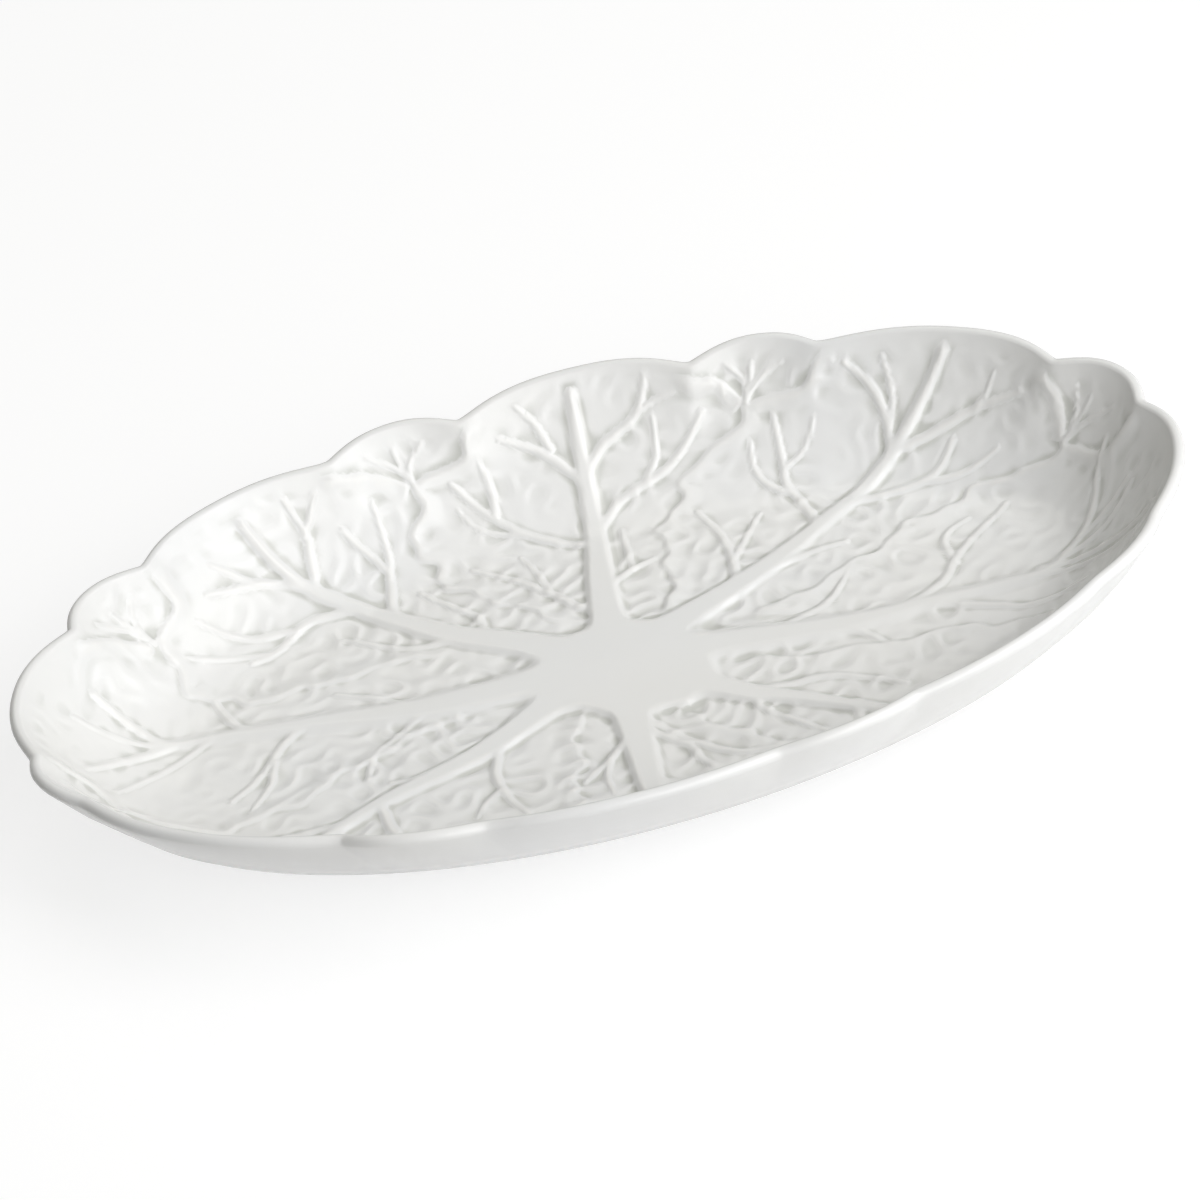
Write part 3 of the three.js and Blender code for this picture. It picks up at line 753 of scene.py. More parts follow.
    def veins(self, points: Array) -> Array:
        """Height of the veins: a bell across each one, joined where they cross by a sum of cubes.

        Args:
            points: points of the plain face.

        Returns:
            Heights.
        """
        cubes = np.zeros(len(points))
        for course, size in self.vein_courses():
            rows, apart, passed, _ = course.near(points, self.vein_half)
            scale = size.value * (1 - self.vein_taper * passed)
            bell = np.clip(1 - (apart / (self.vein_half * scale)) ** 2, 0, 1) ** 2
            cubes[rows] += (self.vein_rise * scale * bell) ** 3
        return np.cbrt(cubes)

    def edge_courses(self, leaf: int) -> list[tuple[Course, int]]:
        """The edge of a leaf over the next one, and of the next one beside the small tip.

        The edge bulges over the next leaf by a half sine and ripples on the way out, and then turns
        round the tip to its notch.

        Args:
            leaf: number of the leaf on top.

        Returns:
            Each course with the side that lies on top, -1 for the right.
        """
        way = np.linspace(0, 1, self.edge_samples)
        seam = self.seams[leaf]
        start, parting = np.array([seam.along, seam.across]), np.array(self.edge_parting)
        places = start + way[:, None] * (parting - start)
        places[:, 1] += seam.bulge * np.sin(math.pi * way**seam.skew)
        for size, waves, turn in self.edge_ripples:
            places[:, 1] += size * np.sin(2 * math.pi * (waves * way + turn * leaf))
        line = self.oval.face(self.leaf_places(leaf, places))
        round_tip = {}
        for side, shoulder in ((-1, self.right_shoulder), (1, self.left_shoulder)):
            knots = ((self.edge_parting[0], 0), shoulder, (self.notch_share, side))
            round_tip[side] = self.course(np.stack([self.tip_place(leaf, *knot) for knot in knots]))
        whole = np.concatenate([line, round_tip[-1].line[1:]])
        return [(Course(whole), -1), (round_tip[1], 1)]

    def edges(self, points: Array) -> Array:
        """Height of the lapped leaf edges: a step at the edge that dies out over the leaf on top.

        Args:
            points: points of the plain face.

        Returns:
            Heights.
        """
        height = np.zeros(len(points))
        for leaf in range(len(self.plans)):
            for course, top in self.edge_courses(leaf):
                rows, apart, passed, side = course.near(points, self.edge_lap)
                inward = apart * side * top
                step = smoothstep(inward, -self.edge_turn, self.edge_turn)
                lap = smoothstep(inward, self.edge_lap, 0)
                ends = smoothstep(passed, 0, self.edge_fade)
                height[rows] = np.maximum(height[rows], self.edge_rise * step * lap * ends)
        return height

    def dents(self, points: Array, share: Array) -> Array:
        """Shallow rounded dents all over the fields, deeper on the floor than on the wall.

        Many even waves in seeded directions are summed to a swell of spread 1, held within a limit by
        a hyperbolic tangent. Its cosine has crests along the zero lines and falls off to both sides.

        Args:
            points: points of the plain face.
            share: share of the oval's radius at each of them.

        Returns:
            Heights, even about 0.
        """
        draw = np.random.default_rng(self.dent_seed)
        heading = unit(draw.normal(size=(self.dent_waves, 3)))
        waves = heading.T * (2 * math.pi / draw.uniform(*self.dent_sizes, self.dent_waves))
        phase = draw.uniform(0, 2 * math.pi, self.dent_waves)
        swell = np.cos(points @ waves + phase).sum(axis=1) * math.sqrt(2 / self.dent_waves)
        swell = self.dent_limit * np.tanh(swell / self.dent_limit)
        wall = smoothstep(share, *self.dent_foot)
        depth = self.dent_depth_on_floor + (self.dent_depth_on_wall - self.dent_depth_on_floor) * wall
        return depth * (np.cos(self.dent_bend * swell) - math.exp(-(self.dent_bend**2) / 2))

    def height(self, at: Array) -> Array:
        """Height of the whole relief over the plain face.

        Args:
            at: places on the oval, one to a row.

        Returns:
            Heights along the face's normal.
        """
        points = self.oval.face(at)
        share = np.hypot(at[:, 0], at[:, 1])
        ribs, full = self.ribs(points, share).T
        fields = np.cbrt(self.veins(points) ** 3 + self.edges(points) ** 3) + self.dents(points, share)
        return (ribs + (1 - full) * fields) * smoothstep(share, self.lip_clear[1], self.lip_clear[0])


def mesh_of_rings(name: str, rings: Array, hems: bool, turned: Array | None = None) -> bpy.types.Mesh:
    """A closed mesh of triangles through rings of points, each ring joined to the next.

    With hems the first and last ring each lie twice along one line, there and back, and are sewn
    shut along it. Without them the last ring joins the first. Each field between two rings and two
    columns is split from its first corner, or from its second where it is turned.

    Args:
        name: the mesh's name.
        rings: points, as rings by columns by three.
        hems: whether the first and last ring are sewn shut.
        turned: which fields are turned, as rings by columns, from the first ring on.

    Returns:
        The mesh, smooth, with its faces pointing out.
    """
    ring_count, count = rings.shape[:2]
    index = np.arange(ring_count * count).reshape(ring_count, count)
    if hems:
        column = np.arange(count)
        folded = np.minimum(column, count - column)
        index[0] = index[0][folded]
        index[-1] = index[-1][folded]
    else:
        index = np.concatenate([index, index[:1]])
    index = wrapped(index)
    corners = [index[:-1, :-1], index[1:, :-1], index[1:, 1:], index[:-1, 1:]]
    fields = np.stack(corners, axis=-1)
    split = np.zeros((*fields.shape[:2], 1, 1), bool)
    if turned is not None:
        split[: len(turned), :, 0, 0] = turned
    halves = [fields[..., [[0, 1, 2], [0, 2, 3]]], fields[..., [[0, 1, 3], [1, 2, 3]]]]
    used, faces = np.unique(np.where(split, halves[1], halves[0]), return_inverse=True)
    points = rings.reshape(-1, 3)[used]
    faces = faces.reshape(-1, 3)
    mesh = bpy.data.meshes.new(name)
    mesh.vertices.add(len(points))
    mesh.vertices.foreach_set("co", points.astype(np.float32).ravel())
    mesh.loops.add(faces.size)
    mesh.loops.foreach_set("vertex_index", faces.astype(np.int32).ravel())
    mesh.polygons.add(len(faces))
    mesh.polygons.foreach_set("loop_start", np.arange(0, faces.size, 3, dtype=np.int32))
    mesh.polygons.foreach_set("use_smooth", np.ones(len(faces), bool))
    mesh.update(calc_edges=True)
    mesh.validate()
    return mesh


def new_object(name: str, data: bpy.types.ID) -> bpy.types.Object:
    """Puts a new object into the scene, at the origin.

    Args:
        name: the object's name.
        data: its mesh, light or camera.

    Returns:
        The object.
    """
    made = bpy.data.objects.new(name, data)
    bpy.context.scene.collection.objects.link(made)
    return made


@dataclass
class Piece:
    """One piece of the platter, which stands for one node of the frame."""

    oval: Oval
    name: str = ""
    node: str = ""
    slot: Slot = Slot.GLAZE
    columns: int = 256

    def build(self) -> bpy.types.Object:
        """Makes the piece's object, lets it ride on the platter and stand for its node.

        Returns:
            The object.
        """
        piece = new_object(self.name, self.mesh())
        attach(piece, BODY)
        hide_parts(self.node)
        return piece

    def mesh(self) -> bpy.types.Mesh:
        """The piece's surface."""
        raise NotImplementedError

    def dress(self, piece: bpy.types.Object, material: bpy.types.Material) -> None:
        """Gives the piece its finish."""
        piece.data.materials.append(material)


@dataclass
class LeafGlaze(Piece):
    """The glaze over the leaves, the lip and the outside down to the foot ring."""

    name: str = "leaf_glaze"
    node: str = "glaze_coat"
    columns: int = 700
    face_rings: int = 104
    ring_crowding: float = 0.88
    lip_rings: int = 5
    wall_rings: int = 8
    back_lip_rings: int = 3
    back_rings: int = 11
    back_end: float = 0.56
    normal_step: float = 0.5 * MM
    hollow_blur: int = 4
    hollow_full: float = 0.35 * MM

    @property
    def spine(self) -> int:
        """Number of points on the folded first ring."""
        return self.columns // 2 + 1

    def mesh(self) -> bpy.types.Mesh:
        """The glaze as one closed skin.

        Its rings run from the spine out over the relief, round the lip, down the outside to the
        hem, and back between the glaze and the clay to the spine again.

        Returns:
            The mesh, with its hollows marked and its normals set.
        """
        oval = self.oval
        angles = oval.columns(self.columns)
        lip = on_ring(angles)
        places = oval.fan_out(np.linspace(0, 1, self.face_rings) ** self.ring_crowding, lip)
        relief = Relief(oval)
        height = relief.height(places.reshape(-1, 2)).reshape(places.shape[:2])
        back_shares = np.append(np.linspace(1, self.back_end, self.back_rings), 0)
        skin = [
            oval.under(places, -height),
            oval.lip_rings(angles, 0, self.lip_rings),
            self.outer_rings(angles, 0),
            self.outer_rings(angles, oval.glaze)[::-1],
            oval.lip_rings(angles, oval.glaze, self.back_lip_rings)[::-1],
            oval.under(oval.fan_out(back_shares, lip), oval.glaze),
        ]
        turned = self.turned(relief, places, height)
        mesh = mesh_of_rings(self.name, np.concatenate(skin), hems=True, turned=turned)
        self.mark_hollows(mesh, height)
        self.set_normals(mesh, relief, places)
        return mesh

    def turned(self, relief: Relief, places: Array, height: Array) -> Array:
        """Finds the fields whose second diagonal lies nearer to the relief at their middle.

        Args:
            relief: the relief.
            places: the leaf face's places on the oval, as rings by columns by two.
            height: the relief there, as rings by columns.

        Returns:
            Whether each field is turned, as rings by columns.
        """
        around, level = wrapped(places), wrapped(height)
        middles = (around[:-1, :-1] + around[1:, :-1] + around[1:, 1:] + around[:-1, 1:]) / 4
        middle = relief.height(middles.reshape(-1, 2)).reshape(middles.shape[:2])
        first = np.abs((level[:-1, :-1] + level[1:, 1:]) / 2 - middle)
        second = np.abs((level[1:, :-1] + level[:-1, 1:]) / 2 - middle)
        return second < first

    def set_normals(self, mesh: bpy.types.Mesh, relief: Relief, places: Array) -> None:
        """Gives the leaf face its exact normals, the cross product of two short steps over the relief.

        The rest of the skin keeps the normals of its faces.

        Args:
            mesh: the mesh, whose first points are the leaf face's.
            relief: the relief.
            places: the leaf face's places on the oval, as rings by columns by two.
        """
        at = np.concatenate([places[0, : self.spine], places[1:].reshape(-1, 2)])
        steps = []
        for step in np.diag(self.normal_step / self.oval.half_sizes):
            ahead, behind = (self.oval.under(end, -relief.height(end)) for end in (at + step, at - step))
            steps.append(ahead - behind)
        normals = np.zeros((len(mesh.vertices), 3))
        mesh.vertices.foreach_get("normal", normals.ravel())
        normals[: len(at)] = unit(np.cross(steps[0], steps[1]))
        mesh.normals_split_custom_set_from_vertices(normals.tolist())

    def outer_rings(self, angles: Array, inward: float) -> Array:
        """Rings down the outside wall from the lip to the hem.

        Args:
            angles: bearings of the columns.
            inward: distance in from the outside of the glaze.

        Returns:
            Points, as rings by columns by three.
        """
        oval = self.oval
        insets = np.linspace(0, oval.bare_band[0], self.wall_rings)
        places = np.stack([oval.at_inset(inset, angles) for inset in insets])
        return oval.under(places, oval.clay(places) + 2 * (oval.glaze + oval.bond) - inward)

    def mark_hollows(self, mesh: bpy.types.Mesh, height: Array) -> None:
        """Stores how far each point lies below its surroundings, for the glaze's painted shade in the
        hollows and painted highlight on the crests.

        The surroundings are the relief blurred over its neighbouring rings and columns.

        Args:
            mesh: the mesh to mark.
            height: the relief, as rings by columns.
        """
        blurred = height
        for _ in range(self.hollow_blur):
            padded = np.concatenate([blurred[:1], blurred, blurred[-1:]])
            blurred = (padded[:-2] + 2 * blurred + padded[2:]) / 4
            blurred = (np.roll(blurred, 1, axis=1) + 2 * blurred + np.roll(blurred, -1, axis=1)) / 4
        hollow = np.clip((blurred - height) / self.hollow_full, -1, 1)
        values = np.zeros(len(mesh.vertices), np.float32)
        values[: self.spine] = hollow[0, : self.spine]
        values[self.spine : self.spine + hollow[1:].size] = hollow[1:].ravel()
        mesh.attributes.new(HOLLOW, "FLOAT", "POINT").data.foreach_set("value", values)


@dataclass
class ClayShell(Piece):
    """The fired clay dish under the glaze."""

    name: str = "clay_shell"
    node: str = "clay_body"
    slot: Slot = Slot.BISQUE
    columns: int = 240
    face_rings: int = 26
    lip_rings: int = 5

    def mesh(self) -> bpy.types.Mesh:
        """A plain closed shell: its upper face, its half-round lip and its underside.

        Returns:
            The mesh.
        """
        oval = self.oval
        angles = oval.columns(self.columns)
        places = oval.fan_out(np.linspace(0, 1, self.face_rings), on_ring(angles))
        top = oval.glaze + oval.bond
        upper = oval.under(places, top)
        lower = oval.under(places, top + oval.clay(places))[::-1]
        rings = np.concatenate([upper, oval.lip_rings(angles, top, self.lip_rings), lower])
        return mesh_of_rings(self.name, rings, hems=True)


@dataclass
class FootRing(Piece):
    """The bare ring that the platter stands on."""

    name: str = "standing_foot"
    node: str = "foot_ring"
    slot: Slot = Slot.BISQUE
    stand: float = 4.5 * MM
    lute: float = 0.3 * MM
    toe: float = 0.9 * MM
    toe_steps: int = 6

    def mesh(self) -> bpy.types.Mesh:
        """A section carried round the oval: straight flanks, and toes rounded by a quadratic curve.

        Returns:
            The mesh.
        """
        oval = self.oval
        angles = oval.columns(self.columns)
        top = oval.foot_height + oval.glaze + oval.bond - self.lute
        flank = unit(np.array([(oval.foot_seat - self.stand) / 2, top]))
        corner = np.array([self.stand / 2, 0.0])
        start, end = corner + self.toe * flank, corner - [self.toe, 0]
        t = np.linspace(0, 1, self.toe_steps)[:, None]
        toe = (1 - t) ** 2 * start + 2 * t * (1 - t) * corner + t**2 * end
        half = np.concatenate([[[oval.foot_seat / 2, top]], toe])
        section = np.concatenate([half * [-1, 1], half[::-1]])
        insets = oval.foot_inset + section[:, 0]
        rings = np.stack([oval.face(oval.at_inset(inset, angles)) for inset in insets])
        rings[..., 2] = section[:, 1, None]
        return mesh_of_rings(self.name, rings, hems=False)


@dataclass
class BasePanel(Piece):
    """The glazed panel on the underside, inside the foot ring."""

    name: str = "base_panel"
    node: str = "base_glaze"
    rings: int = 14

    def mesh(self) -> bpy.types.Mesh:
        """A thin closed panel: its upper side out to the edge, and its glazed underside back.

        Returns:
            The mesh.
        """
        oval = self.oval
        edge = oval.at_inset(oval.bare_band[1], oval.columns(self.columns))
        places = oval.fan_out(np.linspace(0, 1, self.rings), edge)
        clay = oval.clay(places) + 2 * oval.bond + oval.glaze
        upper = oval.under(places, clay)
        lower = oval.under(places, clay + oval.glaze)
        return mesh_of_rings(self.name, np.concatenate([upper, lower[::-1]]), hems=True)


@dataclass
class NodeSheet:
    """A node tree with short ways to add and join its nodes."""

    tree: bpy.types.NodeTree

    @classmethod
    def blank(cls, owner: bpy.types.Material | bpy.types.World) -> "NodeSheet":
        """Empties the node tree of a material or a world.

        Args:
            owner: the material or the world.

        Returns:
            Its sheet.
        """
        owner.use_nodes = True
        owner.node_tree.nodes.clear()
        return cls(owner.node_tree)

    def fill(self, target: Socket, source: object) -> None:
        """Fills an input: joins a socket to it, or sets a plain value on it.

        Args:
            target: the input.
            source: the socket or the value.
        """
        if isinstance(source, Socket):
            self.tree.links.new(source, target)
        else:
            target.default_value = source

    def add(self, kind: str, inputs: dict | None = None, **values: object) -> bpy.types.Node:
        """Adds a node, sets its properties and fills its inputs.

        Args:
            kind: Blender's name for the node's type.
            inputs: a socket or a plain value for each input by its name or number.
            values: properties of the node by name.

        Returns:
            The node.
        """
        node = self.tree.nodes.new(kind)
        for key, value in values.items():
            setattr(node, key, value)
        for key, value in (inputs or {}).items():
            self.fill(node.inputs[key], value)
        return node

    def math(self, operation: str, *terms: Socket | float) -> Socket:
        """The result of an operation on its terms, each a socket or a number."""
        node = self.add("ShaderNodeMath", dict(enumerate(terms)), operation=operation)
        return node.outputs["Value"]

    def remap(self, source: Socket, ends: Place, to: Place = (0, 1)) -> Socket:
        """Maps a value smoothly from one pair of ends to another, held there beyond them.

        Args:
            source: the value's socket.
            ends: the pair that it comes from.
            to: the pair that it goes to.

        Returns:
            The mapped value's socket.
        """
        inputs = dict(zip(("From Min", "From Max", "To Min", "To Max"), (*ends, *to)))
        inputs["Value"] = source
        node = self.add("ShaderNodeMapRange", inputs, interpolation_type="SMOOTHSTEP")
        return node.outputs["Result"]

    def blend(self, mask: Socket, low: Socket | Colour, high: Socket | Colour) -> Socket:
        """Mixes two colours by a mask.

        Args:
            mask: the mask's socket.
            low: colour where the mask is 0, a socket or a plain colour.
            high: colour where it is 1.

        Returns:
            The mixed colour's socket.
        """
        node = self.add("ShaderNodeMix", {"Factor": mask}, data_type="RGBA")
        targets = [socket for socket in node.inputs if socket.type == "RGBA"]
        for target, colour in zip(targets, (low, high)):
            self.fill(target, (*colour, 1) if isinstance(colour, tuple) else colour)
        return next(socket for socket in node.outputs if socket.type == "RGBA")


@dataclass
class EffectSheet(NodeSheet):
    """The sheet of a shared effect, a node group, with the group's own input node on it."""

    given: bpy.types.Node

    @classmethod
    def new(cls, name: str, inputs: dict[str, float], output: str) -> "EffectSheet":
        """Makes a group with a Vector input, number inputs and one number output.

        Args:
            name: the group's name.
            inputs: default value of each number input by name.
            output: name of the output.

        Returns:
            The group's sheet.
        """
        tree = bpy.data.node_groups.new(name, "ShaderNodeTree")
        tree.interface.new_socket("Vector", in_out="INPUT", socket_type="NodeSocketVector")
        for key, value in inputs.items():
            socket = tree.interface.new_socket(key, in_out="INPUT", socket_type="NodeSocketFloat")
            socket.default_value = value
        tree.interface.new_socket(output, in_out="OUTPUT", socket_type="NodeSocketFloat")
        return cls(tree, tree.nodes.new("NodeGroupInput"))

    def value(self, key: str) -> Socket:
        """One of the group's inputs by name."""
        return self.given.outputs[key]

    def noise(self, scale: str, detail: float) -> Socket:
        """A soft noise over the group's Vector, at the scale that one of its inputs names."""
        inputs = {"Vector": self.value("Vector"), "Scale": self.value(scale), "Detail": detail}
        return self.add("ShaderNodeTexNoise", inputs).outputs["Fac"]

    def end(self, result: Socket) -> bpy.types.NodeTree:
        """Gives the group its result and closes it."""
        self.add("NodeGroupOutput", {0: result})
        return self.tree


DRIFT_MIDDLE: Place = (0.3, 0.7)


def kiln_drift_group() -> bpy.types.NodeTree:
    """Slow drift of tone over a fired surface: one soft noise, stretched over its middle range."""
    sheet = EffectSheet.new("kiln_drift", {"Scale": 20.0}, "Mask")
    return sheet.end(sheet.remap(sheet.noise("Scale", detail=3), DRIFT_MIDDLE))


def kiln_speck_group() -> bpy.types.NodeTree:
    """Sparse round specks: cells whose random shade is above Rare show a dot of the given Size.

    Returns:
        The group.
    """
    sheet = EffectSheet.new("kiln_specks", {"Scale": 60.0, "Size": 0.04, "Rare": 0.9}, "Mask")
    inputs = {key: sheet.value(key) for key in ("Vector", "Scale")}
    cells = sheet.add("ShaderNodeTexVoronoi", inputs)
    shade = sheet.add("ShaderNodeSeparateColor", {"Color": cells.outputs["Color"]})
    chosen = sheet.math("GREATER_THAN", shade.outputs["Red"], sheet.value("Rare"))
    dot = sheet.math("LESS_THAN", cells.outputs["Distance"], sheet.value("Size"))
    return sheet.end(sheet.math("MULTIPLY", chosen, dot))


def skin_grain_group() -> bpy.types.NodeTree:
    """Fine unevenness of a fired surface: a coarse noise and a share of a fine one, added.

    Returns:
        The group.
    """
    sheet = EffectSheet.new("skin_grain", {"Coarse": 150.0, "Fine": 900.0, "Share": 0.4}, "Height")
    coarse, fine = (sheet.noise(key, detail=2) for key in ("Coarse", "Fine"))
    return sheet.end(sheet.math("MULTIPLY_ADD", fine, sheet.value("Share"), coarse))


@dataclass
class Kiln:
    """The effects that the finishes share, each built once."""

    drift: bpy.types.NodeTree = field(default_factory=kiln_drift_group)
    specks: bpy.types.NodeTree = field(default_factory=kiln_speck_group)
    grain: bpy.types.NodeTree = field(default_factory=skin_grain_group)

    def place(self, sheet: NodeSheet, group: bpy.types.NodeTree, **values: float) -> Socket:
        """Places a group in a material on Object coordinates.

        Args:
            sheet: the material's sheet.
            group: the group to place.
            values: its inputs by name.

        Returns:
            The group's one output.
        """
        where = sheet.add("ShaderNodeTexCoord").outputs["Object"]
        return sheet.add("ShaderNodeGroup", {"Vector": where, **values}, node_tree=group).outputs[0]


@dataclass(frozen=True)
class Finish:
    """A fired surface."""

    name: str = ""

    def material(self, kiln: Kiln) -> bpy.types.Material:
        """Builds the finish's material.

        Args:
            kiln: the shared effects.

        Returns:
            The material.
        """
        material = bpy.data.materials.new(self.name)
        sheet = NodeSheet.blank(material)
        shader = sheet.add("ShaderNodeBsdfPrincipled", self.surface(sheet, kiln))
        sheet.add("ShaderNodeOutputMaterial", {"Surface": shader.outputs["BSDF"]})
        return material

    def surface(self, sheet: NodeSheet, kiln: Kiln) -> dict[str, Socket | float]:
        """What the Principled shader's inputs hold, by name."""
        raise NotImplementedError

    def bump(self, sheet: NodeSheet, height: Socket, depth: float) -> Socket:
        """The normal, bent by a height of the given real depth."""
        inputs = {"Strength": 1, "Distance": depth, "Height": height}
        return sheet.add("ShaderNodeBump", inputs).outputs["Normal"]


@dataclass(frozen=True)
class WhiteGlaze(Finish):
    """Softly glossy white glaze, with painted shade greying the hollows and a lighter, warmer painted
    highlight on the crests.
    """

    name: str = "white_glaze"
    white: Colour = (0.86, 0.862, 0.856)
    warm: Colour = (0.868, 0.865, 0.848)
    hollow_shade: Colour = (0.64, 0.645, 0.61)
    crest: Colour = (0.885, 0.88, 0.862)
    speck: Colour = (0.22, 0.20, 0.17)
    hollow_shade_ends: Place = (0.06, 0.9)
    crest_highlight_ends: Place = (-0.1, -1.0)
    gloss: Place = (0.19, 0.26)
    refraction: float = 1.42
    peel: float = 0.04 * MM

    def surface(self, sheet: NodeSheet, kiln: Kiln) -> dict[str, Socket | float]:
        """What the Principled shader's inputs hold.

        Args:
            sheet: the material's sheet.
            kiln: the shared effects.

        Returns:
            A socket or a value for each input by name.
        """
        drift = kiln.place(sheet, kiln.drift, Scale=14)
        hollow = sheet.add("ShaderNodeAttribute", attribute_name=HOLLOW).outputs["Fac"]
        colour = sheet.blend(drift, self.white, self.warm)
        # painted shade: the colour turns grey where the surface lies below its surroundings
        colour = sheet.blend(sheet.remap(hollow, self.hollow_shade_ends), colour, self.hollow_shade)
        # painted highlight: the colour turns lighter and warmer where the surface stands above its
        # surroundings
        colour = sheet.blend(sheet.remap(hollow, self.crest_highlight_ends), colour, self.crest)
        specks = kiln.place(sheet, kiln.specks, Scale=45, Size=0.018, Rare=0.93)
        grain = kiln.place(sheet, kiln.grain, Coarse=160, Fine=700, Share=0.2)
        return {
            "Base Color": sheet.blend(specks, colour, self.speck),
            "Roughness": sheet.remap(drift, (0, 1), self.gloss),
            "IOR": self.refraction,
            "Normal": self.bump(sheet, grain, self.peel),
        }


@dataclass(frozen=True)
class BareClay(Finish):
    """Matt fired clay: cream, grainy and speckled, greyed where it stands on the table."""

    name: str = "bare_clay"
    light: Colour = (0.76, 0.71, 0.62)
    dark: Colour = (0.66, 0.60, 0.51)
    worn: Colour = (0.52, 0.49, 0.44)
    speck: Colour = (0.30, 0.24, 0.18)
    rough: Place = (0.82, 0.95)
    wear_height: float = 0.6 * MM
    grain: float = 0.12 * MM

    def surface(self, sheet: NodeSheet, kiln: Kiln) -> dict[str, Socket | float]:
        """What the Principled shader's inputs hold.

        Args:
            sheet: the material's sheet.
            kiln: the shared effects.

        Returns:
            A socket or a value for each input by name.
        """
        drift = kiln.place(sheet, kiln.drift, Scale=60)
        colour = sheet.blend(drift, self.light, self.dark)
        place = sheet.add("ShaderNodeTexCoord").outputs["Object"]
        axes = sheet.add("ShaderNodeSeparateXYZ", {"Vector": place})
        wear = sheet.remap(axes.outputs["Z"], (self.wear_height, 0))
        colour = sheet.blend(wear, colour, self.worn)
        specks = kiln.place(sheet, kiln.specks, Scale=320, Size=0.2, Rare=0.8)
        grain = kiln.place(sheet, kiln.grain, Coarse=700, Fine=2600, Share=0.5)
        return {
            "Base Color": sheet.blend(specks, colour, self.speck),
            "Roughness": sheet.remap(drift, (0, 1), self.rough),
            "Normal": self.bump(sheet, grain, self.grain),
        }


WHITE: Colour = (1.0, 1.0, 1.0)
COOL: Colour = (0.985, 0.99, 1.0)
WARM: Colour = (1.0, 0.985, 0.91)


@dataclass(frozen=True)
class Softbox:
    """A soft rectangular light that faces the platter.

    Its share is the brightness that it gives to a white surface facing it, where 1 is full white.
    """

    name: str
    bearing: float
    lift: float
    share: float
    width: float
    height: float
    distance: float = 2.1
    tint: Colour = WHITE

    def build(self) -> None:
        """Hangs the light at its bearing and lift, facing the platter."""
        turn, lift = math.radians(self.bearing), math.radians(self.lift)
        level = Vector((math.cos(turn), math.sin(turn), 0)) * math.cos(lift)
        place = self.distance * (level + Vector((0, 0, math.sin(lift))))
        lamp = bpy.data.lights.new(self.name, "AREA")
        lamp.shape = "RECTANGLE"
        lamp.size, lamp.size_y = self.width, self.height
        lamp.energy = self.share * (math.pi * self.distance) ** 2
        lamp.color = self.tint
        light = new_object(self.name, lamp)
        light.location = place
        light.rotation_euler = (-place).to_track_quat("-Z", "Y").to_euler()


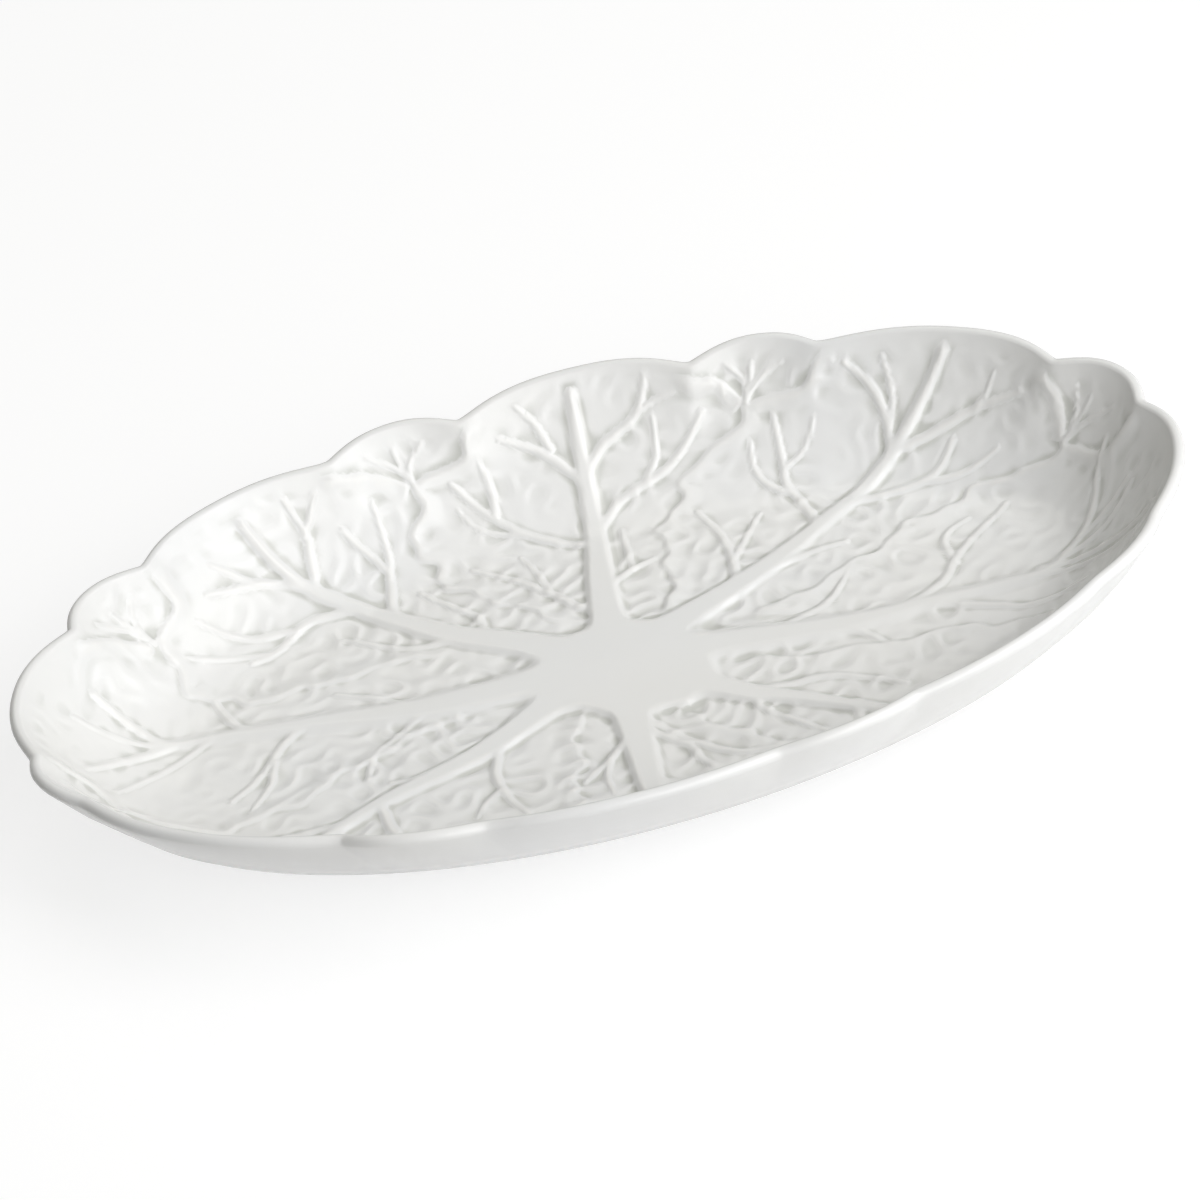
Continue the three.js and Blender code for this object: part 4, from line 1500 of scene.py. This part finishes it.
@dataclass(frozen=True)
class Studio:
    """Pale floor, soft light mostly from the front right, and a camera at the photograph's angle."""

    floor_half: float = 6.0
    floor_pale: float = 0.9
    floor_seen: float = 0.33
    floor_glow: float = 0.76
    ambient: float = 0.09
    ambient_tint: Colour = (1.0, 0.975, 0.87)
    softboxes: tuple[Softbox, ...] = (
        Softbox("right", bearing=-27, lift=45, share=0.605, width=1.6, height=1.6, tint=COOL),
        Softbox("front", bearing=-68, lift=28, share=0.455, width=1.7, height=1.1, tint=COOL),
        Softbox("back", bearing=90, lift=48, share=0.12, width=1.2, height=0.9, tint=WARM),
        Softbox("top", bearing=60, lift=80, share=0.05, width=1.0, height=1.0),
    )
    azimuth: float = -4.04
    elevation: float = 36.0
    roll: float = 13.06
    distance: float = 1.702
    aim: tuple[float, float, float] = (2.92 * MM, 53.88 * MM, 0.0)
    lens: float = 137.9
    sensor: float = 36.0

    def build(self) -> None:
        """Makes the floor, the light and the camera."""
        bpy.context.scene.view_settings.view_transform = "Standard"
        self.floor()
        self.world()
        for softbox in self.softboxes:
            softbox.build()
        self.camera()

    def floor(self) -> None:
        """A square floor that is white to the camera, keeps the shadow, and is clear from below."""
        size = self.floor_half
        corners = [(-size, -size, 0), (size, -size, 0), (size, size, 0), (-size, size, 0)]
        mesh = bpy.data.meshes.new("floor")
        mesh.from_pydata(corners, [], [(0, 1, 2, 3)])
        floor = new_object("floor", mesh)
        material = bpy.data.materials.new("floor_white")
        mesh.materials.append(material)
        sheet = NodeSheet.blank(material)
        seen = self.seen(sheet)
        colour = sheet.blend(seen, 3 * (self.floor_pale,), 3 * (self.floor_seen,))
        diffuse = sheet.add("ShaderNodeBsdfDiffuse", {"Color": colour}).outputs["BSDF"]
        strength = sheet.math("MULTIPLY", seen, self.floor_glow)
        glow = sheet.add("ShaderNodeEmission", {"Strength": strength}).outputs["Emission"]
        above = sheet.add("ShaderNodeAddShader", {0: diffuse, 1: glow}).outputs["Shader"]
        below = sheet.add("ShaderNodeBsdfTransparent").outputs["BSDF"]
        side = sheet.add("ShaderNodeNewGeometry").outputs["Backfacing"]
        surface = sheet.add("ShaderNodeMixShader", {0: side, 1: above, 2: below}).outputs["Shader"]
        sheet.add("ShaderNodeOutputMaterial", {"Surface": surface})

    def seen(self, sheet: NodeSheet) -> Socket:
        """Tells the rays that see a surface from those that carry its light on.

        Args:
            sheet: the sheet of the material or the world.

        Returns:
            A value that is 1 for camera, glossy and transmission rays, and 0 for the rest.
        """
        rays = sheet.add("ShaderNodeLightPath").outputs
        first = sheet.math("MAXIMUM", rays["Is Camera Ray"], rays["Is Glossy Ray"])
        return sheet.math("MAXIMUM", first, rays["Is Transmission Ray"])

    def world(self) -> None:
        """An even white surround: full white to the camera, dimmer as a light."""
        world = bpy.data.worlds.new("surround")
        sheet = NodeSheet.blank(world)
        light = tuple(self.ambient * value for value in self.ambient_tint)
        colour = sheet.blend(self.seen(sheet), light, WHITE)
        background = sheet.add("ShaderNodeBackground", {"Color": colour})
        sheet.add("ShaderNodeOutputWorld", {"Surface": background.outputs["Background"]})
        bpy.context.scene.world = world

    def camera(self) -> None:
        """The photograph's camera: turned about the aim, raised, then rolled about its own axis."""
        turn, lift, roll = (math.radians(v) for v in (self.azimuth, self.elevation, self.roll))
        level_back = math.cos(lift)
        back = Vector((math.sin(turn) * level_back, -math.cos(turn) * level_back, math.sin(lift)))
        level = Vector((math.cos(turn), math.sin(turn), 0))
        upright = back.cross(level)
        right = math.cos(roll) * level - math.sin(roll) * upright
        up = math.sin(roll) * level + math.cos(roll) * upright
        lens = bpy.data.cameras.new("camera")
        lens.lens = self.lens
        lens.sensor_width = self.sensor
        camera = new_object("camera", lens)
        axes = Matrix((right, up, back)).transposed().to_4x4()
        camera.matrix_world = Matrix.Translation(Vector(self.aim) + self.distance * back) @ axes
        bpy.context.scene.camera = camera


def clear_start_up() -> None:
    """Removes what Blender starts with, and leaves the frame."""
    kept = {*frame["nodes"].values(), *frame["bodies"].values()}
    for other in [o for o in bpy.context.scene.objects if o not in kept]:
        bpy.data.objects.remove(other)


def main() -> None:
    """Builds and dresses the platter's pieces in order, and then the studio."""
    logging.basicConfig(level=logging.INFO, format="%(message)s")
    clear_start_up()
    oval = Oval()
    kiln = Kiln()
    finishes = {Slot.GLAZE: WhiteGlaze().material(kiln), Slot.BISQUE: BareClay().material(kiln)}
    for part in (ClayShell(oval), FootRing(oval), LeafGlaze(oval), BasePanel(oval)):
        piece = part.build()
        part.dress(piece, finishes[part.slot])
        sizes = len(piece.data.vertices), len(piece.data.polygons)
        LOG.info("%s: %d points, %d faces", piece.name, *sizes)
    Studio().build()


if __name__ == "__main__":
    main()
